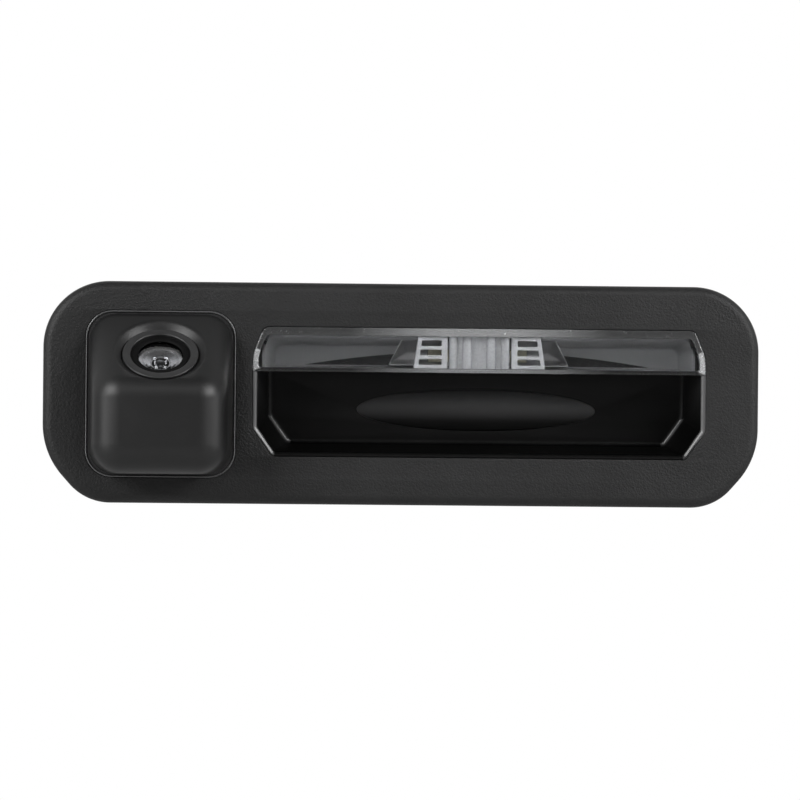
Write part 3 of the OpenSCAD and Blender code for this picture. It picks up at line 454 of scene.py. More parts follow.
def plastic(name, level, roughness, grain, depth, uneven=0.15, specular=0.5, speckle=0.3, fade=None):
    """Moulded plastic with an eroded grain of the given size and depth in millimetres.

    The last argument is painted shade, given as (axis, dark place, light place, share): the tone falls to
    that share at the dark place.
    """
    n = Nodes(name)
    fine = n.noise(grain, detail=4, roughness=0.6)
    pits = n.cells(grain * 1.6)
    height = n.combine(fine, n.combine(pits, 0.6, "MULTIPLY"))
    n.bump(height, depth)
    patches = n.noise(18, detail=3)
    mottle = n.combine(n.combine(patches, 1 - speckle, "MULTIPLY"), n.combine(fine, speckle, "MULTIPLY"))
    tone = n.spread(mottle, 1 - uneven, 1 + uneven)
    # Painted shade: darkens the tone along one axis.
    if fade:
        tone = n.combine(tone, n.fade(*fade), "MULTIPLY")
    n.colour(n.combine(tone, 0.5, "MULTIPLY"), (0, 0, 0), grey(level * 2))
    wear = n.combine(patches, n.combine(fine, 0.4, "MULTIPLY"))
    n.link(n.spread(wear, roughness - 0.05, roughness + 0.07, 0.4, 1.0), n.shader.inputs["Roughness"])
    n.set(Specular_IOR_Level=specular)
    return n.material


def tray_plastic(name, level, roughness, light_y, dark_y):
    """Grey moulded plastic with painted shade: it darkens in its deep places, from light_y to dark_y."""
    n = Nodes(name)
    fine = n.noise(0.3, detail=4, roughness=0.6)
    n.bump(fine, 0.006)
    parts = n.add("ShaderNodeSeparateXYZ")
    n.link(n.place, parts.inputs["Vector"])
    wavy = n.combine(parts.outputs["Y"], n.combine(fine, 0.2 * MM, "MULTIPLY"))
    # Painted shade: from light_y to dark_y along Y the tone falls to near black.
    n.colour(n.spread(wavy, 1, 0, light_y * MM, dark_y * MM), grey(0.012), grey(level))
    n.link(n.spread(n.noise(12), roughness - 0.05, roughness + 0.08), n.shader.inputs["Roughness"])
    return n.material


def rubber(name, level, roughness=0.7):
    n = Nodes(name)
    skin = n.noise(0.5, detail=5, roughness=0.7)
    n.bump(skin, 0.03)
    bloom = n.noise(7, detail=4)
    n.colour(n.spread(bloom, 0, 1), grey(level * 0.8), grey(level * 1.5))
    n.link(n.spread(bloom, roughness - 0.06, roughness + 0.1), n.shader.inputs["Roughness"])
    n.set(Specular_IOR_Level=0.35)
    return n.material


def foam(name, level):
    n = Nodes(name)
    cells = n.cells(0.45)
    n.bump(cells, 0.12)
    n.colour(n.spread(cells, 0, 1, 0.1, 0.6), grey(level * 0.5), grey(level * 1.4))
    n.set(Roughness=0.9, Specular_IOR_Level=0.2)
    return n.material


def metal(name, tone, roughness, brushed=0.0, coloured=None, fade=None):
    """Bare metal, with turning or brushing marks if brushed is over 0."""
    n = Nodes(name)
    marks = n.noise(0.25, detail=4, roughness=0.7, stretch=(1, 1, 6))
    n.bump(marks, 0.002 + 0.01 * brushed)
    film = n.noise(3, detail=4)
    base = coloured or (tone, tone, tone * 1.01)
    share = n.spread(film, 0.86, 1)
    # Painted shade: darkens the tone along one axis.
    if fade:
        share = n.combine(share, n.fade(*fade), "MULTIPLY")
    n.colour(share, (0, 0, 0), base)
    n.link(n.spread(film, roughness * 0.8, roughness * 1.3), n.shader.inputs["Roughness"])
    n.set(Metallic=1.0)
    return n.material


def painted_metal(name, level, roughness, specular=0.6):
    n = Nodes(name)
    turned = n.noise(0.15, detail=4, roughness=0.7)
    n.bump(turned, 0.004)
    film = n.noise(2.5, detail=3)
    n.colour(n.spread(film, 0, 1), grey(level * 0.8), grey(level * 1.25))
    n.link(n.spread(film, roughness - 0.05, roughness + 0.08), n.shader.inputs["Roughness"])
    n.set(Specular_IOR_Level=specular)
    return n.material


def clear(name, tint, roughness, ior, ripple=0.0, share=1.0, middle=None):
    """Clear glass or acrylic with a faint moulded ripple and a dusting of haze."""
    n = Nodes(name)
    wave = n.noise(4, detail=2)
    n.bump(wave, ripple)
    haze = n.noise(1.2, detail=5, roughness=0.7)
    n.link(n.spread(haze, roughness * 0.6, roughness * 1.6), n.shader.inputs["Roughness"])
    # Painted light and shade: with middle given, the colour falls to that share near the lens's middle and
    # stays full towards its ends.
    if middle:
        parts = n.add("ShaderNodeSeparateXYZ")
        n.link(n.place, parts.inputs["Vector"])
        off = n.combine(n.combine(parts.outputs["X"], -POCKET_X * MM), 0, "ABSOLUTE")
        n.colour(n.spread(off, 1, 0, 9 * MM, 30 * MM), tuple(c * middle for c in tint), tint)
    else:
        n.colour(n.spread(wave, 0, 1), tuple(c * 0.97 for c in tint), tint)
    n.set(Transmission_Weight=share, IOR=ior)
    return n.material


def board(name):
    """Solder mask over copper tracks, with the weave of the laminate showing through."""
    n = Nodes(name)
    tracks = n.add("ShaderNodeTexBrick")
    tracks.inputs["Scale"].default_value = 220
    tracks.inputs["Mortar Size"].default_value = 0.03
    n.link(n.place, tracks.inputs["Vector"])
    n.colour(tracks.outputs["Fac"], (0.010, 0.075, 0.030), (0.025, 0.140, 0.060))
    n.bump(n.noise(0.4, detail=2), 0.01)
    n.set(Roughness=0.3, Coat_Weight=0.4, Coat_Roughness=0.15)
    return n.material


# Painted shade: the bezel's tone falls to 0.55 towards its left end (x = -60 mm), standing in for light
# falling off across it; the mottle is its own random tone.
BEZEL_PLASTIC = plastic("grained_bezel_plastic", 0.0050, 0.52, 0.34, 0.11, uneven=0.6,
                        specular=0.30, speckle=0.5, fade=("X", -60, 70, 0.55))
HOOD_PLASTIC = plastic("hood_plastic", 0.0038, 0.42, 0.16, 0.007, uneven=0.35, specular=0.32)
# Painted highlight: a much lighter, glossier copy of the hood plastic for the thin bead round the hood's
# foot.
HOOD_EDGE = plastic("hood_edge_painted_highlight", 0.05, 0.25, 0.16, 0.003, uneven=0.2, specular=0.9)
# Painted shade: the pocket's tone falls to 0.05 towards the bottom (z = -6 mm and below), so its walls and
# floor look shaded low down.
POCKET_PLASTIC = plastic("pocket_plastic", 0.007, 0.42, 0.22, 0.007, uneven=0.2, specular=0.10,
                         fade=("Z", -6, 2, 0.05))
# Painted highlight: a lighter, glossier copy of the pocket plastic for the rim and the low fillet, with
# painted shade darkening it towards the bottom.
POCKET_EDGE = plastic("pocket_edge_painted_highlight", 0.04, 0.34, 0.2, 0.003, uneven=0.2, specular=0.55,
                      fade=("Z", -11.2, -9.6, 0.12))
# Painted light and shade: the button's tone falls to 0.05 towards its bottom edge, so its top half reads lit
# and its lower half shaded.
BUTTON_PLASTIC = plastic("button_soft_plastic", 0.038, 0.55, 0.18, 0.008, uneven=0.2,
                         specular=0.25, speckle=0.6, fade=("Z", BUTTON_Z - 2.4, BUTTON_Z + 3.4, 0.05))
HOUSING_PLASTIC = plastic("housing_nylon", 0.026, 0.50, 0.35, 0.012, uneven=0.18)
MOULDED_BLACK = plastic("moulded_black", 0.010, 0.40, 0.25, 0.006)
LAMP_GREY = tray_plastic("lamp_tray_grey", 0.30, 0.45, WING_Y + 0.15, WING_Y + 0.9)
ACETAL = plastic("natural_acetal", 0.66, 0.45, 0.25, 0.004, uneven=0.04)
MEMBRANE = plastic("vent_membrane", 0.5, 0.85, 0.20, 0.02, uneven=0.05)
SEAL_RUBBER = rubber("seal_rubber", 0.012)
FOAM_RUBBER = foam("foam_rubber", 0.03)
BARREL_METAL = painted_metal("black_anodised", 0.010, 0.42, specular=0.4)
BAFFLE_BLACK = painted_metal("baffle_black", 0.002, 0.6, specular=0.06)
# Painted shade: the silver retainer's tone falls to 0.12 towards its upper side, leaving its lower side
# bright.
SATIN_SILVER = metal("satin_silver", 0.62, 0.12, brushed=0.15, fade=("Z", LENS_Z - 0.5, LENS_Z - 2.4, 0.12))
LAMP_SILVER = metal("lamp_silver", 0.62, 0.5, brushed=0.1)
SCREW_STEEL = metal("screw_steel", 0.62, 0.32, brushed=0.3)
SPRING_STEEL = metal("spring_steel", 0.38, 0.34, brushed=0.8)
CONTACT_BRASS = metal("contact_brass", 0.7, 0.3, coloured=(0.78, 0.60, 0.30))
OPTICAL_GLASS = clear("optical_glass", (0.97, 0.98, 1.0), 0.01, 1.52)
FILTER_GLASS = clear("filter_glass", (0.95, 0.70, 0.74), 0.02, 1.5)
LAMP_CLEAR = clear("lamp_clear", (0.93, 0.94, 0.95), 0.06, 1.49, ripple=0.01)
# Painted light and shade on the lens rim: darker in the middle, darker still on its lower half (foot), and a
# whiter, less clear copy at the ends as a painted highlight.
LAMP_RIM = clear("lamp_rim", (0.94, 0.95, 0.96), 0.18, 1.49, ripple=0.03, share=0.86, middle=0.2)
LAMP_FOOT = clear("lamp_rim_foot", (0.94, 0.95, 0.96), 0.14, 1.49, ripple=0.03, share=0.93, middle=0.12)
LAMP_END = clear("lamp_rim_end", (0.92, 0.93, 0.94), 0.2, 1.49, ripple=0.03, share=0.75)
COATED_GLASS = clear("coated_glass", (0.97, 0.98, 1.0), 0.01, 1.35)
CIRCUIT_BOARD = board("circuit_board")


def frosted(name, level, share=0.25):
    """Clear acrylic with a moulded, light-scattering surface."""
    n = Nodes(name)
    prisms = n.noise(0.5, detail=4, roughness=0.7)
    n.bump(prisms, 0.06)
    n.colour(n.spread(prisms, 0, 1), grey(level * 0.8), grey(level))
    n.set(Roughness=0.22, Transmission_Weight=share, IOR=1.49, Coat_Weight=0.5)
    return n.material


def phosphor(name):
    n = Nodes(name)
    n.bump(n.noise(0.2, detail=3), 0.01)
    n.colour(n.spread(n.noise(0.6), 0, 1), (0.62, 0.58, 0.40), (0.80, 0.77, 0.60))
    n.set(Roughness=0.35)
    return n.material


LUG_WHITE = frosted("frosted_lugs", 0.92)
FLUTE_WHITE = frosted("fluted_acrylic", 0.88, share=0.32)
LED_PHOSPHOR = phosphor("led_phosphor")
PLUNGER_RED = plastic("plunger_red", 0.2, 0.4, 0.2, 0.004)
CHIP_BLACK = plastic("chip_epoxy", 0.016, 0.5, 0.2, 0.006)


# ---- bezel ----

def fillet_turns(count):
    return [math.pi / 2 * k / count for k in range(count + 1)]


def make_bezel():
    soft, hole_soft = 0.3, 0.12
    shell = Shell()
    outer = [shell.ring(PLATE_FRONT, rounded(inset(BEZEL_OUTLINE, 1.5))),
             shell.ring(BEZEL_BACK, rounded(inset(BEZEL_OUTLINE, 1.5))),
             shell.ring(BEZEL_BACK, rounded(inset(BEZEL_OUTLINE, soft))),
             shell.ring(BEZEL_BACK - soft, rounded(BEZEL_OUTLINE))]
    for t in fillet_turns(10):
        line = rounded(inset(BEZEL_OUTLINE, EDGE_R * (1 - math.cos(t))))
        outer.append(shell.ring(FRONT + EDGE_R * (1 - math.sin(t)), line))
    shell.join(*outer)
    holes = []
    for outline, lip, x in ((inset(HOOD_BASE, -0.06), HOOD_LIP, HOOD_X),
                            (inset(POCKET_OPENING, 0.08), POCKET_LIP, POCKET_X)):
        rings = []
        for t in fillet_turns(4):
            line = rounded(inset(outline, -hole_soft * (1 - math.sin(t))))
            rings.append(shell.ring(FRONT + hole_soft * (1 - math.cos(t)), shifted(line, x)))
        lip_line = shifted(rounded(inset(outline, -lip)), x)
        rings.append(shell.ring(SEAL_FRONT, shifted(rounded(outline), x)))
        rings.append(shell.ring(SEAL_FRONT, lip_line))
        rings.append(shell.ring(PLATE_FRONT, lip_line))
        shell.join(*rings)
        holes.append(rings)
    shell.fill(outer[-1], *[rings[0] for rings in holes])
    shell.fill(outer[0], *[rings[-1] for rings in holes])
    return shell.done("bezel_plate", BEZEL_PLASTIC, slot="grained_plastic", replaces=["front_bezel"])


# ---- camera hood ----

LEDGE_W = 0.8
LEDGE_H = 0.45
BEAD_W = 0.4
CROWN = 0.45
EDGE_PLANE = HOOD_TIP + HOOD_EDGE_R
SLOPE_END = SLOPE_Z - (SLOPE_Y - EDGE_PLANE) / math.tan(LENS_TILT)


def soft_min(a, b, blend):
    """The smaller of two values, with a rounded change from one to the other."""
    return min(a, b) - blend * math.log1p(math.exp(-abs(a - b) / blend))


def hood_section(y, g):
    """The hood's outline in the plane y, with its walls moved in by g."""
    r = HOOD_EDGE_R - g
    rise = min(1, max(0, (SLOPE_Y - y) / (SLOPE_Y - EDGE_PLANE)))
    lean = LEDGE_W + (HOOD_DRAFT - LEDGE_W) * rise
    ball = math.sqrt(max(0, r * r - min(0, y - EDGE_PLANE) ** 2))
    side = HOOD_W / 2 - lean - HOOD_EDGE_R
    low = HOOD_LOW + LEDGE_W + (HOOD_DRAFT * 0.6 - LEDGE_W) * rise + HOOD_EDGE_R
    slope = SLOPE_Z - (SLOPE_Y - y) / math.tan(LENS_TILT) - g / math.sin(LENS_TILT)
    if y < EDGE_PLANE - r * math.cos(LENS_TILT):
        slope = SLOPE_END - HOOD_EDGE_R / math.sin(LENS_TILT) + ball
    top = soft_min(HOOD_TOP - LEDGE_W - g, slope, 0.35)
    reach = ball if y < EDGE_PLANE else r
    corner = max(0.05, ball)
    if y >= EDGE_PLANE:
        corner = HOOD_CORNER_R - g + (HOOD_EDGE_R - HOOD_CORNER_R) * rise
    return both_sides([(side + reach, low - reach, corner), (side + reach, top, corner)])


def hood_shell(g, back):
    r = HOOD_EDGE_R - g
    tilt = math.degrees(LENS_TILT)
    turns = [90 - tilt * k / 12 for k in range(13)] + [(90 - tilt) * (1 - k / 10) for k in range(1, 11)]
    planes = [EDGE_PLANE - r * math.sin(math.radians(a)) for a in turns]
    planes += [EDGE_PLANE + (FRONT - 0.1 - EDGE_PLANE) * k / 28 for k in range(1, 29)]
    shell = Shell()
    lines = [shifted(rounded(hood_section(y, g)), HOOD_X) for y in planes]
    rings = [shell.ring(y, line) for y, line in zip(planes, lines)]
    if g == 0:
        for y, gap in ((0.4, LEDGE_W - 0.06), (0.41, LEDGE_W - 0.12), (0.4, BEAD_W + 0.04)):
            rings.append(shell.ring(FRONT - LEDGE_H + y, shifted(rounded(inset(HOOD_BASE, gap)), HOOD_X)))
        rings.append(shell.ring(FRONT - LEDGE_H + 0.35, shifted(rounded(HOOD_BASE), HOOD_X)))
        rings.append(shell.ring(back, shifted(rounded(HOOD_BASE), HOOD_X)))
    else:
        rings.append(shell.ring(back, lines[-1]))
    shell.join(*rings)
    shell.fill(rings[-1])
    middle_z = sum(z for x, z in lines[0]) / len(lines[0])
    inner = rings[0]
    for share in (0.85, 0.7, 0.55, 0.4, 0.25, 0.12, 0.05, 0.01):
        ring = shell.ring(planes[0], [(HOOD_X + (x - HOOD_X) * share, middle_z + (z - middle_z) * share)
                                      for x, z in lines[0]])
        shell.join(inner, ring)
        inner = ring
    shell.fill(inner)
    for vert in shell.bm.verts:
        x, y, z = vert.co / MM
        depth = (EDGE_PLANE - y) / HOOD_EDGE_R
        if depth > 0:
            away = ((x - HOOD_X) / (HOOD_W / 2)) ** 2 + ((z - middle_z) / (HOOD_W / 2)) ** 2
            vert.co.y += CROWN * MM * depth * min(1, away)
    return shell


BARREL_R = 8.7
DISH_R = BARREL_R + 2
DISH_DEPTH = 1.3
RING_INNER_R = BARREL_R - 1.9
WINDOW_R = RING_INNER_R - 1.7


def make_hood_bead():
    """The thin raised edge all round the hood's foot."""
    shell = Shell()
    rings = []
    for k in range(11):
        angle = math.pi * k / 10
        line = shifted(rounded(inset(HOOD_BASE, 0.01 + BEAD_W / 2 * (1 + math.cos(angle)))), HOOD_X)
        rings.append(shell.ring(FRONT - LEDGE_H + 0.36 * (1 - math.sin(angle)), line))
    for gap in (0.03, BEAD_W - 0.01):
        rings.append(shell.ring(FRONT - LEDGE_H + 0.5, shifted(rounded(inset(HOOD_BASE, gap)), HOOD_X)))
    shell.join(*rings, rings[0])
    # The bead wears the lighter copy as a painted highlight.
    shell.done("hood_edge_bead", HOOD_EDGE, slot="hood_plastic", replaces=["camera_hood"])


def make_hood():
    body = hood_shell(0, PLATE_FRONT).done("hood_shell", HOOD_PLASTIC, slot="hood_plastic",
                                           replaces=["camera_hood"])
    cut(body, mesh_of(hood_shell(HOOD_WALL, PLATE_FRONT + 2)), "hood_inside")
    edge_r, wall = 2.0, math.radians(35)
    start = DISH_R + edge_r * math.tan(wall / 2)
    edge = [(start + edge_r * math.cos(math.pi / 2 + wall * k / 8),
             -edge_r + edge_r * math.sin(math.pi / 2 + wall * k / 8)) for k in range(9)]
    edge[0] = (edge[0][0], 0.004)
    profile = [(0, 6), (start, 6)] + edge + [
        (BARREL_R + SLIP + 0.1, -DISH_DEPTH), (BARREL_R + SLIP, -DISH_DEPTH - 0.1),
        (BARREL_R + SLIP, -9), (0, -9)]
    cut(body, in_frame(mesh_of(turned(profile))), "lens_recess")
    collar = [(BARREL_R + SLIP, -5, 0.2), (BARREL_R + 1.9, -5, 0.2), (BARREL_R + 1.9, -2.3, 0.1),
              (BARREL_R + SLIP, -2.3, 0.1)]
    lathe("lens_collar", ring_profile(collar), HOOD_PLASTIC, slot="hood_plastic", replaces=["camera_hood"])


# ---- camera ----

def dome(r, apex, edge, rows=12):
    """Profile points of a spherical cap from its apex out to radius edge."""
    return [(edge * k / rows, apex - r + math.sqrt(r * r - (edge * k / rows) ** 2)) for k in range(rows + 1)]


def make_camera():
    ring = [(RING_INNER_R, -2.9, 0.1), (BARREL_R, -2.9, 0.1), (BARREL_R, -0.8, 0.3),
            (RING_INNER_R, -0.8, 0.3)]
    lathe("barrel_front_ring", ring_profile(ring), BARREL_METAL, slot="black_anodised",
          replaces=["front_ring"], segments=160)
    steps = [(RING_INNER_R - 0.02, -1.2, 0.05), (RING_INNER_R - 0.02, -1.78, 0.05), (WINDOW_R, -1.78, 0.05),
             (WINDOW_R, -1.56, 0.08), (WINDOW_R + 0.4, -1.3, 0.12), (RING_INNER_R - 0.55, -1.24, 0.05),
             (RING_INNER_R - 0.45, -1.34, 0.05), (RING_INNER_R - 0.3, -1.34, 0.05),
             (RING_INNER_R - 0.2, -1.2, 0.05)]
    lathe("lens_surround", ring_profile(steps), BAFFLE_BLACK, slot="baffle_black", replaces=["lens_baffle"],
          segments=160)
    front = dome(14, -0.9, WINDOW_R + 0.85)
    back = [(r, h) for r, h in dome(13, -1.7, 5.0)]
    profile = front + [(WINDOW_R + 0.85, -2.85), (5.05, -2.85)] + list(reversed(back))
    lathe("front_glass", profile, COATED_GLASS, slot="optical_glass", replaces=["front_element"],
          segments=128)
    cone = [(5.75, -2.92, 0.05), (5.75, -3.36, 0.05), (4.25, -3.38, 0.1), (2.6, -4.1, 0.05),
            (2.5, -4.18, 0.02), (2.0, -4.18, 0.05), (2.0, -3.98, 0.05), (2.25, -3.96, 0.05),
            (2.3, -3.84, 0.05), (3.1, -3.62, 0.15), (3.7, -3.3, 0.1), (3.78, -3.4, 0.04),
            (3.95, -3.36, 0.04), (4.05, -3.2, 0.05), (4.6, -2.98, 0.1)]
    lathe("silver_retainer", ring_profile(cone), SATIN_SILVER, slot="satin_silver", replaces=["inner_cone"],
          segments=128)
    rod = dome(2.6, -3.3, 2.36, rows=14)
    lathe("second_lens", rod + [(2.38, -11.98), (0, -11.98)], OPTICAL_GLASS, slot="optical_glass",
          replaces=["second_element"])


# ---- finger pocket ----

def make_pocket():
    """The moulded pocket: a rounded rim, drafted walls, and a back wall with the button's oval hole."""
    shell = Shell()
    mouth_inner = inset(MOUTH_OUTER, RIM_W)
    rings = [pocket_ring(shell, PLATE_FRONT, rounded(inset(MOUTH_OUTER, -POCKET_LIP + 0.02))),
             pocket_ring(shell, SEAL_FRONT + 0.42, rounded(inset(MOUTH_OUTER, -POCKET_LIP + 0.02))),
             pocket_ring(shell, SEAL_FRONT + 0.42, rounded(MOUTH_OUTER))]
    for gap, y in ((0, 0.22), (0.02, 0.1), (0.08, 0.03), (0.18, 0), (0.4, 0.07), (0.65, 0.19), (0.85, 0.31),
                   (0.98, 0.44), (1.06, 0.58), (RIM_W, 0.78)):
        rings.append(pocket_ring(shell, FRONT + y, rounded(inset(MOUTH_OUTER, gap))))
    wall_start, wall_end = rounded(mouth_inner), rounded(FLOOR_INNER)
    fillet = 1.1
    deep = FLOOR_Y - FRONT - fillet
    for k in range(1, 9):
        line = between(wall_start, wall_end, deep / 15 * k / 8)
        rings.append(pocket_ring(shell, FRONT + 0.8 + (deep - 0.8) * k / 8, line))
    last = between(wall_start, wall_end, deep / 15)
    for k in range(1, 9):
        t = math.pi / 2 * k / 8
        inner = rounded(inset(FLOOR_INNER, fillet))
        line = between(last, inner, 1 - math.cos(t))
        rings.append(pocket_ring(shell, FLOOR_Y - fillet * (1 - math.sin(t)), line))
    w, h = BUTTON_W + 2 * BUTTON_PLAY, BUTTON_H + 2 * BUTTON_PLAY
    hole = [pocket_ring(shell, FLOOR_Y + y, shifted(ellipse(w + 2 * gap, h + 2 * gap), 0, BUTTON_Z))
            for y, gap in ((0, 0.08), (0.02, 0.03), (0.08, 0), (POCKET_WALL, 0))]
    shell.join(*rings)
    shell.join(*hole)
    shell.fill(rings[-1], hole[0])
    floor_outer = rounded(inset(FLOOR_INNER, -POCKET_WALL + 0.1))
    back = [pocket_ring(shell, FLOOR_BACK, floor_outer),
            pocket_ring(shell, PLATE_FRONT + 0.4, between(rounded(MOUTH_OUTER), floor_outer, 0.18)),
            pocket_ring(shell, PLATE_FRONT, rounded(inset(MOUTH_OUTER, 0.12)))]
    shell.join(*back)
    shell.join(back[-1], rings[0])
    shell.fill(back[0], hole[-1])
    pocket = shell.done("pocket_moulding", POCKET_PLASTIC, slot="pocket_plastic", replaces=["finger_pocket"])
    pocket.data.materials.append(POCKET_EDGE)
    # The rim and the fillet above the bottom wall take the lighter copy as a painted highlight; the bottom
    # rim is left out.
    for polygon in pocket.data.polygons:
        y = polygon.center.y / MM
        along_bottom = abs(polygon.normal.x) < 0.05 and polygon.center.z < 0
        rim = FRONT - 0.1 < y < FRONT + 0.78
        low_fillet = FLOOR_Y - 0.95 < y < FLOOR_Y - 0.1 and polygon.normal.z > 0.25
        if (rim or low_fillet) and not along_bottom:
            polygon.material_index = 1
    notch = Shell()
    line = shifted(rounded(inset(LAMP_OUTLINE, -0.03)), POCKET_X)
    prism(notch, line, FRONT - 2, LENS_BACK + 0.02)
    cut(pocket, mesh_of(notch), "lens_notch")
    for side in (-1, 1):
        for z in (-3.2, 3.2):
            x = POCKET_X + side * GUIDE_BOSS_X
            name = "pocket_boss_%s_%s" % ("right" if side > 0 else "left", "top" if z > 0 else "low")
            post(name, x, BUTTON_Z + z, 1.0, 2.4, FLOOR_BACK, GUIDE_FRONT, POCKET_PLASTIC, "pocket_plastic",
                 ["finger_pocket"])


def post(name, x, z, bore, r, y0, y1, material, slot, stands_for):
    """A hollow moulded post along Y."""
    frame_at = Matrix.Translation((x, y0, z)) @ Matrix.Rotation(-math.pi / 2, 4, "X")
    profile = ring_profile([(bore, 0, 0.1), (r, 0, 0.1), (r - 0.1, y1 - y0, 0.25), (bore, y1 - y0, 0.2)])
    return lathe(name, profile, material, matrix=frame_at, segments=48, slot=slot, replaces=stands_for)


# ---- plate lamp ----

LENS_WALL = 1.2
TOP_BAND = 1.9
LOW_BAND = 1.0
END_BAND = 1.3


def rim_block(shell, outer, inner, y0, y1, edge=0.25):
    """A closed frame with rounded front edges, between two outlines with equal counts."""
    line_out, line_in = shifted(rounded(outer), POCKET_X), shifted(rounded(inner), POCKET_X)
    rings = [shell.ring(y1, line_out)]
    for t in fillet_turns(4):
        line = shifted(rounded(inset(outer, edge * (1 - math.cos(t)))), POCKET_X)
        rings.append(shell.ring(y0 + edge * (1 - math.sin(t)), line))
    for t in reversed(fillet_turns(4)):
        line = shifted(rounded(inset(inner, -edge * (1 - math.cos(t)))), POCKET_X)
        rings.append(shell.ring(y0 + edge * (1 - math.sin(t)), line))
    rings.append(shell.ring(y1, line_in))
    shell.join(*rings, rings[0])


def make_lamp():
    low, top = LAMP_LOW, LAMP_TOP
    inner = inset_edges(LAMP_OUTLINE, [END_BAND, END_BAND, TOP_BAND, END_BAND, END_BAND, LOW_BAND],
                        [0.5, 7, 1, 1, 7, 0.5])
    frame_shell = Shell()
    rim_block(frame_shell, inset(LAMP_OUTLINE, 0.02), inner, LENS_FRONT, LENS_BACK)
    rim = frame_shell.done("lamp_lens_rim", LAMP_RIM, slot="lamp_clear", replaces=["lamp_lens"])
    rim.data.materials.append(LAMP_END)
    rim.data.materials.append(LAMP_FOOT)
    end_x = (LAMP_OUTLINE[1][0] - END_BAND - 0.4) * MM
    # The ends take the whiter copy as a painted highlight, the lower half the darker foot copy as painted
    # shade.
    for polygon in rim.data.polygons:
        if abs(polygon.center.x - POCKET_X * MM) > end_x:
            polygon.material_index = 1
        elif polygon.center.z < (LAMP_LOW + LAMP_TOP) / 2 * MM:
            polygon.material_index = 2
    face = Shell()
    line = shifted(rounded(inset(inner, -0.02)), POCKET_X)
    prism(face, line, LENS_FRONT + 0.35, LENS_FRONT + LENS_WALL)
    face.done("lamp_lens_face", LAMP_CLEAR, slot="lamp_clear", replaces=["lamp_lens"])
    middle, height = (low + LOW_BAND + top - TOP_BAND) / 2, top - TOP_BAND - low - LOW_BAND - 0.1
    make_flutes(middle, height)
    for side in (-1, 1):
        make_ladder(side, middle, height)
    make_tray()
    make_reflector()


def make_flutes(middle, height):
    """The middle of the lens: a wavy block with four upright half-round ribs, in frosted acrylic."""
    shell = Shell()
    y0 = LENS_FRONT + LENS_WALL + 0.01
    half, count = 7.0, 140
    def depth(x):
        rib = max(math.sqrt(max(0, 1 - ((abs(x) - c) / 1.05) ** 2)) for c in (2.8, 6.1))
        return 1.75 - 1.45 * rib
    xs = [-half + 2 * half * k / count for k in range(count + 1)]
    line = [(x, y0 + depth(x)) for x in xs]
    rows = []
    for z, shrink in ((-height / 2, 0.2), (-height / 2 + 0.2, 0), (height / 2 - 0.2, 0), (height / 2, 0.2)):
        front = [(POCKET_X + x, y + shrink * 0.6, middle + z) for x, y in line]
        back = [(POCKET_X + side * half, y0 + 2.6, middle + z) for side in (1, -1)]
        rows.append(shell.loop(back + front))
    shell.join(*rows)
    for row in (rows[0], rows[-1]):
        shell.bm.faces.new(row)
    shell.done("lens_flutes", FLUTE_WHITE, slot="lamp_clear", replaces=["lamp_lens"])


def make_ladder(side, middle, height):
    """A moulded lug: an upright frame with a slanted outer rail and three rungs, as one mesh with slots."""
    low, top = middle - height / 2, middle + height / 2
    outer_low, outer_top, inner_x = 15.2, 14.1, 7.4
    rail = 0.95
    outline = [(side * inner_x, low), (side * outer_low, low), (side * outer_top, top), (side * inner_x, top)]
    outline = [(x, z, 0.25) for x, z in (outline if side > 0 else reversed(outline))]
    slots = []
    slot_h = (height - 2 * 0.85 - 2 * 0.85) / 3
    for k in range(3):
        z0 = low + 0.85 + k * (slot_h + 0.85)
        x_out = outer_low + (outer_top - outer_low) * (z0 - low) / height - rail
        x_end = outer_low + (outer_top - outer_low) * (z0 + slot_h - low) / height - rail
        line = [(side * (inner_x + rail + 0.4), z0), (side * x_out, z0), (side * x_end, z0 + slot_h),
                (side * (inner_x + rail + 0.4), z0 + slot_h)]
        slots.append([(x, z, 0.3) for x, z in (line if side > 0 else reversed(line))])
    y0, y1, edge = LENS_FRONT + LENS_WALL + 0.02, LENS_BACK - 0.1, 0.18
    shell = Shell()
    front_rings, back_rings = [], []
    for k, corners in enumerate([outline] + slots):
        sign = 1 if k == 0 else -1
        rings = []
        for t in fillet_turns(3):
            line = shifted(rounded(inset(corners, sign * edge * (1 - math.sin(t))), step=15), POCKET_X)
            rings.append(shell.ring(y0 + edge * (1 - math.cos(t)), line))
        rings.append(pocket_ring(shell, y1, rounded(inset(corners, 0), step=15)))
        shell.join(*rings)
        front_rings.append(rings[0])
        back_rings.append(rings[-1])
    shell.fill(*front_rings)
    shell.fill(*back_rings)
    shell.done("lens_lug_%s" % ("right" if side > 0 else "left"), LUG_WHITE, slot="lamp_clear",
               replaces=["lamp_lens"])


